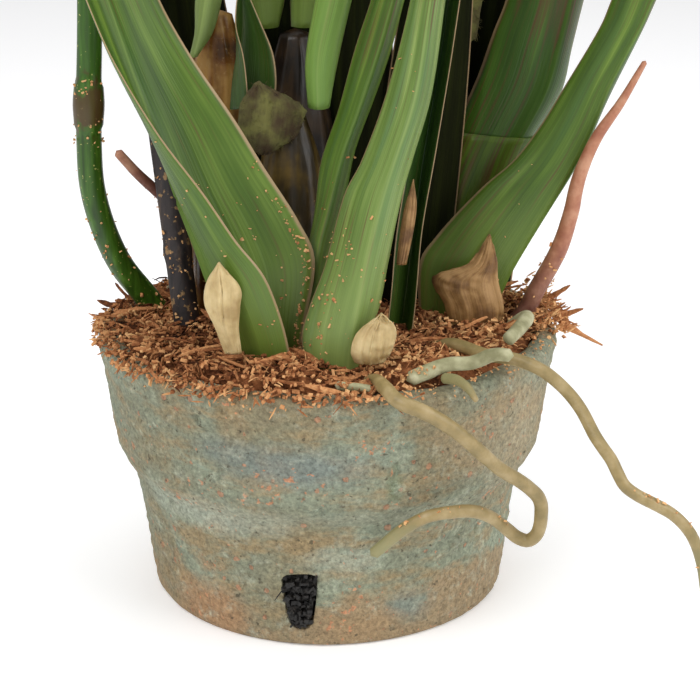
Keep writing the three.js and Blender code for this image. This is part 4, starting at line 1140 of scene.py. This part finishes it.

# ---- Coir --------------------------------------------------------------------------------------
# Shredded coconut husk heaped over the medium: stiff splinters, matted tufts of short fibre and
# dry crumbs. It spills over the rim at the left and front, and a tuft stands out at the right.

# Dry husk: dead matt, from dark brown in the hollows to pale tan at the frayed ends; the dark of the hollows
# is painted shade, from the low tones given to the heap's under layer.
husk, tree = begin_material("coconut_husk")
tone = add(tree, "ShaderNodeAttribute", attribute_name="tone")
place = add(tree, "ShaderNodeTexCoord")
fuzz = add(tree, "ShaderNodeTexNoise", {"Vector": (place, "Object"), "Scale": 900, "Detail": 4})
mixed = add(tree, "ShaderNodeMath", {0: (fuzz, "Fac"), 1: 0.35, 2: (tone, "Fac")},
            operation="MULTIPLY_ADD")
husk_colour = add(tree, "ShaderNodeValToRGB", {"Fac": (mixed, 0)}, ramp=[
    (0.2, paint("#1a0c06")), (0.4, paint("#5a331d")), (0.55, paint("#935c38")),
    (0.7, paint("#c4895a")), (0.9, paint("#e2b27c"))])
bump = add(tree, "ShaderNodeBump", {"Height": (fuzz, "Fac"), "Strength": 0.9, "Distance": 0.0008})
shader = add(tree, "ShaderNodeBsdfPrincipled", {
    "Base Color": (husk_colour, "Color"), "Roughness": 0.95, "Specular IOR Level": 0.2,
    "Normal": (bump, 0)})
close_material(tree, shader)


def spill(angle):
    """How far the heap passes over the rim at a heading: 0 keeps inside it, 1 lies well over it."""
    turned = math.degrees(angle) % 360
    front_left = max(0.0, min(1.0, (turned - 150) / 25, (298 - turned) / 22))
    right = math.exp(-((((turned + 180) % 360 - 182) / 15) ** 2))
    behind = 0.5 * max(0.0, min(1.0, (turned - 20) / 25, (160 - turned) / 25))
    return max(front_left, right, behind)


def heap_height(x, y):
    """The heap's height in millimetres at a place."""
    radius, angle = math.hypot(x, y), math.atan2(y, x)
    spot = Vector((x, y, 0)) * MM
    lie = 93.6 + 2.6 * grain(spot, 17, 21) + 1.1 * grain(spot, 6.5, 22)
    brink = 61 + 8 * spill(angle)
    fall = min(1.0, max(0.0, (radius - brink) / 7))
    return lie - (3.6 + 1.6 * (1 - spill(angle))) * fall * fall * (3 - 2 * fall)


def splinter(points, faces, foot, heading, length, width, rng):
    """Appends a stiff frayed chip: five rough sides along five stations, thin at both ends."""
    start = len(points)
    side = heading.orthogonal().normalized()
    up = heading.cross(side)
    bow = rng.uniform(-0.12, 0.12) * length
    for k in range(6):
        t = k / 5
        thick = width * (0.35, 0.85, 1.0, 0.9, 0.7, 0.25)[k] * rng.uniform(0.8, 1.15)
        centre = foot + heading * length * t + up * bow * math.sin(math.pi * t)
        for i in range(5):
            angle = 2 * math.pi * i / 5 + 0.3 * k
            reach = thick * rng.uniform(0.7, 1.2)
            points.append(centre + side * math.cos(angle) * reach + up * math.sin(angle) * reach * 0.6)
    for k in range(5):
        for i in range(5):
            j = (i + 1) % 5
            row = start + 5 * k
            faces.append((row + i, row + j, row + 5 + j, row + 5 + i))
    faces.append(tuple(start + i for i in (4, 3, 2, 1, 0)))
    faces.append(tuple(start + 25 + i for i in range(5)))


lying = [spot for line in root_lines.values() for spot in line if spot.z < 112 * MM]


def root_gap(x, y):
    """How far, in millimetres, a place is from the roots that lie on the heap."""
    return min(math.hypot(spot.x / MM - x, spot.y / MM - y) for spot in lying)


rng = random.Random(5)
points, faces, tones = [], [], []
BASE_RINGS, BASE_SIDES = 34, 120
for k in range(1, BASE_RINGS + 1):
    radius = 67.4 * k / BASE_RINGS
    for i in range(BASE_SIDES):
        angle = 2 * math.pi * i / BASE_SIDES
        x, y = radius * math.cos(angle), radius * math.sin(angle)
        z = heap_height(x, y) - 1.4 + 1.3 * grain(Vector((x, y, 0)) * MM, 2.8, 23)
        points.append(Vector((x, y, min(z, 95) if k < BASE_RINGS else 87)) * MM)
for i in range(BASE_SIDES):
    angle = 2 * math.pi * i / BASE_SIDES
    points.append(Vector((65.2 * math.cos(angle), 65.2 * math.sin(angle), 79)) * MM)
points += [Vector((0, 0, heap_height(0, 0) - 1.4)) * MM, Vector((0, 0, 79)) * MM]
peak, under = len(points) - 2, len(points) - 1
for k in range(BASE_RINGS):
    for i in range(BASE_SIDES):
        j = (i + 1) % BASE_SIDES
        row = k * BASE_SIDES
        faces.append((row + i, row + BASE_SIDES + i, row + BASE_SIDES + j, row + j))
faces += [(peak, i, (i + 1) % BASE_SIDES) for i in range(BASE_SIDES)]
row = BASE_RINGS * BASE_SIDES
faces += [(under, row + (i + 1) % BASE_SIDES, row + i) for i in range(BASE_SIDES)]
# The under layer gets low tones, darker than the chips and crumbs on it: painted shade for the hollows
# between them.
tones += [0.3 + 0.16 * grain(spot, 5, 40) + 0.1 * grain(spot, 1.7, 41) for spot in points]


def heap_spot(rng):
    """A random place on the heap, as x and y in millimetres, kept off the bare parts of the rim."""
    while True:
        radius = 76 * math.sqrt(rng.random())
        angle = rng.uniform(-math.pi, math.pi)
        if radius < 65.5 + 10.5 * spill(angle) * rng.random() ** 0.5:
            return radius * math.cos(angle), radius * math.sin(angle)


def keep_tones(tone, rng, spread=0.1):
    """Gives the points added since the last call one shade, a little lighter at random."""
    shade = tone + rng.uniform(-spread, spread)
    while len(tones) < len(points):
        tones.append(shade + rng.uniform(-0.04, 0.04))


def settled(x, y, rise):
    """A place on the heap, `rise` millimetres over it, but low where a root lies."""
    level = max(heap_height(x, y), 89.6 if math.hypot(x, y) > 67.5 else 0)
    clear = min(1.0, max(0.0, (root_gap(x, y) - 2.5) / 5))
    return Vector((x, y, level - 0.7 + (rise + 0.5) * clear)) * MM


for _ in range(430):
    x, y = heap_spot(rng)
    length = rng.uniform(5, 19) * (0.5 if root_gap(x, y) < 6 else 1)
    turn = rng.uniform(0, 2 * math.pi)
    heading = Vector((math.cos(turn), math.sin(turn), rng.uniform(-0.14, 0.3))).normalized()
    foot = settled(x, y, rng.uniform(-0.8, 1.6))
    far = foot + heading * length * MM
    if math.hypot(far.x, far.y) > (73 + 6 * spill(math.atan2(far.y, far.x))) * MM:
        continue
    splinter(points, faces, foot, heading, length * MM, rng.uniform(0.45, 1.25) * MM, rng)
    keep_tones(rng.choice((0.3, 0.4, 0.48)), rng)

for _ in range(430):
    x, y = heap_spot(rng)
    lay = rng.uniform(0, 2 * math.pi)
    clump_tone = rng.choice((0.24, 0.36, 0.48, 0.6)) + 0.002 * x
    for _ in range(9):
        dx, dy = rng.gauss(0, 1.7), rng.gauss(0, 1.7)
        foot = settled(x + dx, y + dy, rng.uniform(-0.6, 0.9))
        turn = lay + rng.gauss(0, 0.6)
        lean = Vector((math.cos(turn), math.sin(turn), rng.uniform(-0.2, 0.75)))
        sag = rng.uniform(0.0, 0.7)
        reach = rng.uniform(2.2, 6.5) * (0.5 if root_gap(x, y) < 5 else 1)
        if math.hypot(foot.x, foot.y) > 70 * MM:
            reach *= 0.6
        drop = Vector((0, 0, sag * reach))
        line = [foot + (lean * reach * t - drop * t * t) * MM for t in (0, 0.35, 0.7, 1)]
        strand(points, faces, line, rng.uniform(0.12, 0.34) * MM)
        keep_tones(clump_tone, rng)

for _ in range(4800):
    x, y = heap_spot(rng)
    mound = 3.2 * max(0.0, grain(Vector((x, y, 0)) * MM, 8, 44))
    spot = settled(x, y, mound + rng.uniform(-0.3, 1.9))
    size = [rng.uniform(0.6, 2.6) * MM, rng.uniform(0.5, 1.5) * MM, rng.uniform(0.5, 1.4) * MM]
    axis = Vector((rng.uniform(-1, 1), rng.uniform(-1, 1), rng.uniform(-1, 1)))
    chunk(points, faces, spot, size, Matrix.Rotation(rng.uniform(0, 6.3), 3, axis), rng)
    keep_tones(rng.choice((0.38, 0.5, 0.62)) + 0.3 * grain(spot, 12, 45), rng)

# What hangs over the rim's outer edge from the left round to the front.
for _ in range(650):
    angle = math.radians(rng.uniform(178, 296))
    over = spill(angle)
    patch = 0.5 + 0.5 * grain(Vector((math.cos(angle), math.sin(angle), 0)) * 75 * MM, 9, 31)
    if rng.random() > over * patch * 1.7:
        continue
    radius = rng.uniform(71, 77.2)
    z = 90.6 - rng.random() ** 1.8 * 5.5 * patch if radius > 74.6 else rng.uniform(89.4, 91.8)
    spot = Vector((radius * math.cos(angle), radius * math.sin(angle), z)) * MM
    if rng.random() < 0.3:
        turn = angle + rng.gauss(0, 1.0)
        lean = Vector((math.cos(turn), math.sin(turn), rng.uniform(-1.1, 0.2))).normalized()
        reach = rng.uniform(2, 5)
        line = [spot + lean * reach * t * MM for t in (0, 0.5, 1)]
        strand(points, faces, line, rng.uniform(0.2, 0.45) * MM)
    else:
        size = [rng.uniform(0.7, 2.8) * MM, rng.uniform(0.6, 1.6) * MM, rng.uniform(0.6, 1.5) * MM]
        axis = Vector((rng.uniform(-1, 1), rng.uniform(-1, 1), rng.uniform(-1, 1)))
        chunk(points, faces, spot, size, Matrix.Rotation(rng.uniform(0, 6.3), 3, axis), rng)
    keep_tones(rng.choice((0.4, 0.52, 0.62)), rng)

# The tuft at the right, with one long splinter that points down and out.
for _ in range(520):
    angle = math.radians(rng.gauss(2, 8))
    radius = rng.uniform(66, 80.5) - abs(math.degrees(angle) - 2) * 0.18
    z = 89.5 + 8.5 * rng.random() * math.exp(-(((radius - 71) / 7) ** 2)) - (max(0, radius - 75.5) * 0.6)
    spot = Vector((radius * math.cos(angle), radius * math.sin(angle), z)) * MM
    if rng.random() < 0.4:
        turn = rng.gauss(0.1, 0.8)
        lean = Vector((math.cos(turn), math.sin(turn), rng.uniform(-0.7, 0.8))).normalized()
        reach = rng.uniform(2, 5.5)
        line = [spot + lean * reach * t * MM for t in (0, 0.35, 0.7, 1)]
        strand(points, faces, line, rng.uniform(0.2, 0.45) * MM)
    else:
        size = [rng.uniform(0.7, 2.6) * MM, rng.uniform(0.6, 1.6) * MM, rng.uniform(0.6, 1.4) * MM]
        axis = Vector((rng.uniform(-1, 1), rng.uniform(-1, 1), rng.uniform(-1, 1)))
        chunk(points, faces, spot, size, Matrix.Rotation(rng.uniform(0, 6.3), 3, axis), rng)
    keep_tones(rng.choice((0.46, 0.58, 0.7)), rng)
for foot, heading, length in (
    ((74, -4, 92), (1, -0.15, -0.55), 19),
    ((72, -7, 94), (1, -0.3, 0.25), 12),
    ((72, 4, 95), (0.9, 0.2, 0.5), 10),
):
    splinter(points, faces, Vector(foot) * MM, Vector(heading).normalized(), length * MM, 1.15 * MM, rng)
    keep_tones(0.46, rng)

coir = mesh_piece("coir_heap", points, faces, smooth=False)
shade = coir.data.attributes.new("tone", "FLOAT", "POINT")
shade.data.foreach_set("value", tones)
coir.data.materials.append(husk)
belongs(coir, "coir", "coir_bed")

# Crumbs that cling to the leaf bases, the stalk, the cane, the roots and the pot's rim.
points, faces, tones = [], [], []


def cling(spot, size, tone):
    """Adds one crumb at a place on a surface."""
    axis = Vector((rng.uniform(-1, 1), rng.uniform(-1, 1), rng.uniform(-1, 1)))
    sides = [size * rng.uniform(low, high) * MM for low, high in ((0.6, 1.5), (0.5, 1.0), (0.4, 0.8))]
    chunk(points, faces, spot, sides, Matrix.Rotation(rng.uniform(0, 6.3), 3, axis), rng)
    keep_tones(tone, rng)


def leaf_crumbs(node, count, low, high, first, last):
    """Scatters crumbs on a blade's front between two heights and two shares of its width."""
    grid = blade_sheets[node]
    rows = [k for k, line in enumerate(grid[:-1]) if low < line[0].z / MM < high]
    for _ in range(count):
        k = rows[int(len(rows) * rng.random() ** 1.7)]
        line = grid[k]
        c = min(len(line) - 2, int(rng.uniform(first, last) * (len(line) - 1)))
        spot = line[c].lerp(line[c + 1], rng.random()).lerp(grid[k + 1][c], rng.random())
        out = (line[c + 1] - line[c]).cross(grid[k + 1][c] - line[c]).normalized()
        out = out if out.y < 0 else -out
        cling(spot + out * 0.6 * MM, 0.3 + 0.9 * rng.random() ** 2, rng.uniform(0.5, 0.8))


leaf_crumbs("leaf_front_left", 100, 88, 150, 0.55, 1.0)
leaf_crumbs("leaf_front_left", 130, 88, 140, 0.95, 1.0)
leaf_crumbs("leaf_front_left", 26, 88, 170, 0.0, 0.5)
leaf_crumbs("leaf_front", 80, 88, 135, 0.0, 0.35)
leaf_crumbs("leaf_front", 30, 88, 190, 0.0, 1.0)
leaf_crumbs("leaf_right", 26, 88, 150, 0.0, 1.0)
leaf_crumbs("leaf_inner", 20, 88, 150, 0.0, 1.0)
for centres, radius, spans in (
    (spike_centres, 4.6, ((92, 128, 60, 0.9), (150, 172, 60, 0.8), (128, 150, 10, 0.5))),
    (cane_centres, 4.3, ((93, 125, 70, 0.9), (125, 150, 14, 0.6))),
    (root_lines["root_pink"], 3.6, ((94, 120, 26, 0.8),)),
    (root_lines["root_tip_left"], 3.0, ((94, 140, 34, 0.8),)),
):
    line = sorted(centres, key=lambda c: c.z)
    for low, high, count, size in spans:
        for _ in range(count):
            centre = height_on(line, max(line[0].z, min(line[-1].z, rng.uniform(low, high) * MM)))
            angle = rng.uniform(0, 2 * math.pi)
            out = Vector((math.cos(angle), math.sin(angle), 0)) * radius * MM
            cling(centre + out, size * rng.uniform(0.5, 1.4), rng.uniform(0.55, 0.8))
for node, count, radius in (
    ("root_looping", 26, 2.4), ("root_hanging", 30, 2.4), ("root_pale_thick", 18, 3.0),
):
    line = root_lines[node][: max(3, len(root_lines[node]) // 3)]
    knots = knots_of(line)
    for _ in range(count):
        centre = along(knots, line, rng.uniform(0, knots[-1]))
        angle = rng.uniform(0.2, 2.9)
        out = Vector((math.cos(angle), -0.6, math.sin(angle))).normalized() * radius * MM
        cling(centre + out, rng.uniform(0.4, 1.0), rng.uniform(0.6, 0.8))
for _ in range(240):
    angle = math.radians(rng.uniform(190, 345))
    if rng.random() < 0.6:
        radius, z = rng.uniform(69.5, 74), 89.7
    else:
        radius, z = 74.7, rng.uniform(84.5, 89)
    cling(Vector((radius * math.cos(angle), radius * math.sin(angle), z)) * MM, rng.uniform(0.3, 1.1), 0.66)
crumbs = mesh_piece("clinging_crumbs", points, faces, smooth=False)
shade = crumbs.data.attributes.new("tone", "FLOAT", "POINT")
shade.data.foreach_set("value", tones)
crumbs.data.materials.append(husk)
belongs(crumbs, "coir")

# ---- Flowers and buds --------------------------------------------------------------------------
# Waxy blooms, pale green with darker veins: three sepals, two petals, a blotched lip in front and
# a short arched column. Each hangs on its own green stalk; three buds end the spike.
FLOWER_COUNT, FIRST_FLOWER, FLOWER_PITCH = 8, 322, 26
BUD_COUNT, FIRST_BUD, BUD_PITCH = 3, 528, 12
FLOWER_REACH, FLOWER_LIFT, FLOWER_FAN = 42, 0.42, 62


def petal_skin(name, deep, pale, vein, blotch=None):
    """Petal tissue: satin, softly translucent, veined from base to tip, blotched on the lip."""
    material, tree = begin_material(name)
    sheet = add(tree, "ShaderNodeUVMap", uv_map="blade")
    split = add(tree, "ShaderNodeSeparateXYZ", {0: (sheet, 0)})
    lie = add(tree, "ShaderNodeMapping", {"Vector": (sheet, 0), "Scale": (24, 3, 1)})
    veins = add(tree, "ShaderNodeTexNoise", {"Vector": (lie, 0), "Scale": 1.0, "Detail": 2})
    ramp = add(tree, "ShaderNodeValToRGB", {"Fac": (split, "Y")}, ramp=[
        (0.0, paint(deep)), (0.35, paint(pale)), (1.0, paint(pale))])
    vein_mask = add(tree, "ShaderNodeMapRange", {
        "Value": (veins, "Fac"), "From Min": 0.56, "From Max": 0.7, "To Min": 0.0, "To Max": 0.5})
    veined = add(tree, "ShaderNodeMix", {
        0: (vein_mask, 0), 6: (ramp, "Color"), 7: paint(vein)}, data_type="RGBA")
    coat = veined
    if blotch:
        spots = add(tree, "ShaderNodeTexNoise", {"Vector": (lie, 0), "Scale": 0.9, "Detail": 3})
        reach = add(tree, "ShaderNodeMath", {0: (split, "Y"), 1: 0.32, 2: (spots, "Fac")},
                    operation="MULTIPLY_ADD")
        spot_mask = add(tree, "ShaderNodeMapRange", {
            "Value": (reach, 0), "From Min": 0.68, "From Max": 0.72, "To Min": 0.0, "To Max": 0.9})
        coat = add(tree, "ShaderNodeMix", {
            0: (spot_mask, 0), 6: (veined, 2), 7: paint(blotch)}, data_type="RGBA")
    shader = add(tree, "ShaderNodeBsdfPrincipled", {
        "Base Color": (coat, 2), "Roughness": 0.45, "Subsurface Weight": 0.2,
        "Subsurface Radius": (0.004, 0.004, 0.002)})
    close_material(tree, shader)
    return material


petal_green = petal_skin("pale_petal", "#b9c878", "#dfe3b8", "#b6c47e")
lip_cream = petal_skin("blotched_lip", "#e6d9a0", "#f0e6c8", "#d9b8a0", blotch="#7a1f38")


def petal(name, angle, length, width, cup, lean=0.0, outline=None, curl=0.25, ruffle=0.0):
    """One petal from the flower's centre, pointing `angle` degrees round it and leaning forward."""
    across = Vector((0, -math.sin(math.radians(angle)), math.cos(math.radians(angle))))
    out = Vector((0, math.cos(math.radians(angle)), math.sin(math.radians(angle))))
    ahead = Vector((1, 0, 0))
    places, widths = outline or ([0, 0.1, 0.45, 0.8, 0.94, 1], [0.2, 0.42, 1, 0.78, 0.4, 0.04])
    grid, marks = [], []
    for i in range(17):
        t = i / 16
        half = max(0.03, along(places, widths, t)) * width / 2
        line, line_marks = [], []
        for j in range(13):
            s = 2 * j / 12 - 1
            forward = cup * t * t + lean * t + curl * half * s * s - 0.35 * math.exp(-((s / 0.14) ** 2))
            forward += ruffle * abs(s) ** 3 * math.sin(11 * t + 5 * s)
            line.append((out * length * t + ahead * forward + across * half * s) * MM)
            line_marks.append(((s + 1) / 2, t))
        grid.append(line)
        marks.append(line_marks)
    return sheet_piece(name, grid, marks, 0.9 * MM, edge=0.35)


LIP_OUTLINE = ([0, 0.12, 0.34, 0.52, 0.72, 0.9, 1], [0.4, 0.75, 1.0, 0.66, 0.86, 0.6, 0.1])
bloom_parts = [
    petal("sepal_top", 90, 31, 17, 6),
    petal("sepal_left", 205, 31, 16, 4),
    petal("sepal_right", 335, 31, 16, 4),
    petal("petal_left", 150, 28.5, 15, 9),
    petal("petal_right", 30, 28.5, 15, 9),
]
for part in bloom_parts:
    part.data.materials.append(petal_green)
lip = petal("lip", 270, 14, 16, 2, lean=12, outline=LIP_OUTLINE, curl=0.5, ruffle=0.8)
lip.data.materials.append(lip_cream)
column = sweep("column", [Vector(p) * MM for p in ((0.5, 0, 1), (4, 0, 3.6), (8, 0, 4.6), (12, 0, 2.4))],
               [2.2 * MM, 1.9 * MM, 2.1 * MM, 1.7 * MM], 18, 0.7 * MM, cap=0.8)
column.data.materials.append(lip_cream)
column.data.uv_layers["skin"].name = "blade"
bloom_route = ((1.5 - FLOWER_REACH, 0, -18), (-21, 0, -6.7), (-9, 0, -2.4), (-1, 0, 0))
bloom_stalk = sweep("bloom_stalk", [Vector(p) * MM for p in bloom_route],
                    [1.5 * MM, 1.6 * MM, 2.0 * MM, 2.3 * MM], 16, 1.2 * MM)
bloom_stalk.data.materials.append(green_stalk)
bloom_stalk.data.uv_layers["skin"].name = "blade"
bpy.ops.object.select_all(action="DESELECT")
for part in (*bloom_parts, lip, column, bloom_stalk):
    part.select_set(True)
bpy.context.view_layer.objects.active = bloom_parts[0]
bpy.ops.object.join()
bloom = bloom_parts[0]
rng = random.Random(17)
for k in range(FLOWER_COUNT):
    heading = -90 + FLOWER_FAN * ((k % 3) - 1) + 3 * math.sin(5 * k + 1)
    outward = Vector((math.cos(math.radians(heading)), math.sin(math.radians(heading)), 0))
    foot = height_on(spike_centres, (FIRST_FLOWER + FLOWER_PITCH * k) * MM)
    centre = foot + (outward + Vector((0, 0, FLOWER_LIFT))) * FLOWER_REACH * MM
    flower = bloom.copy()
    flower.data = bloom.data.copy()
    flower.name = f"flower_{k + 1}_bloom"
    bpy.context.scene.collection.objects.link(flower)
    for vertex in flower.data.vertices:
        free = min(1.0, max(0.0, vertex.co.x / MM + 8) / 12)
        vertex.co *= 1 - 0.05 * free * rng.random() * 0.2
        vertex.co.x += 0.9 * free * noise.noise(vertex.co * 60 + Vector((k * 5, 0, 0))) * MM
    flower.data.transform(Matrix.Translation(centre) @ Matrix.Rotation(math.radians(heading), 4, "Z"))
    belongs(flower, "petal", f"flower_{k + 1}")
bpy.data.objects.remove(bloom)


def bud_skin(t, angle, radius, length):
    """A bud's radius: three closed sepals with a seam between each two."""
    seam = math.exp(-(((angle % (2 * math.pi / 3) - math.pi / 3) / 0.16) ** 2))
    return radius * (1 + 0.05 * math.cos(3 * angle) - 0.06 * seam)


for k in range(BUD_COUNT):
    size, reach = 1 - 0.12 * k, 21 - 3 * k
    heading = -90 + FLOWER_FAN * ((k % 3) - 1)
    outward = Vector((math.cos(math.radians(heading)), math.sin(math.radians(heading)), 0))
    foot = height_on(spike_centres, (FIRST_BUD + BUD_PITCH * k) * MM)
    centre = foot + (outward + Vector((0, 0, FLOWER_LIFT))) * reach * MM
    tilt = Vector((math.sin(math.radians(75)), 0, math.cos(math.radians(75))))
    stations = (-8.2, -7, -4, -1, 2, 5, 8, 10, 11.2)
    egg = sweep("bud_egg", [tilt * s * size * MM for s in stations],
                [r * size * MM for r in (1.6, 3, 4.4, 5, 5.1, 4.6, 3.5, 2.4, 1.1)], 30, 0.8 * MM, bud_skin)
    egg.data.materials.append(petal_green)
    stalk = sweep("bud_stalk", [Vector(p) * MM for p in (
        (1.2 - reach, 0, -0.43 * reach), (-0.5 * reach, 0, -0.16 * reach), (-2, 0, 0))],
        [1.5 * MM, 1.5 * MM, 1.8 * MM], 14, 1.2 * MM)
    stalk.data.materials.append(green_stalk)
    for part in (egg, stalk):
        part.data.uv_layers["skin"].name = "blade"
    bpy.ops.object.select_all(action="DESELECT")
    egg.select_set(True)
    stalk.select_set(True)
    bpy.context.view_layer.objects.active = egg
    bpy.ops.object.join()
    egg.name = f"bud_{k + 1}_bloom"
    egg.data.transform(Matrix.Translation(centre) @ Matrix.Rotation(math.radians(heading), 4, "Z"))
    belongs(egg, "bud", f"bud_{k + 1}")
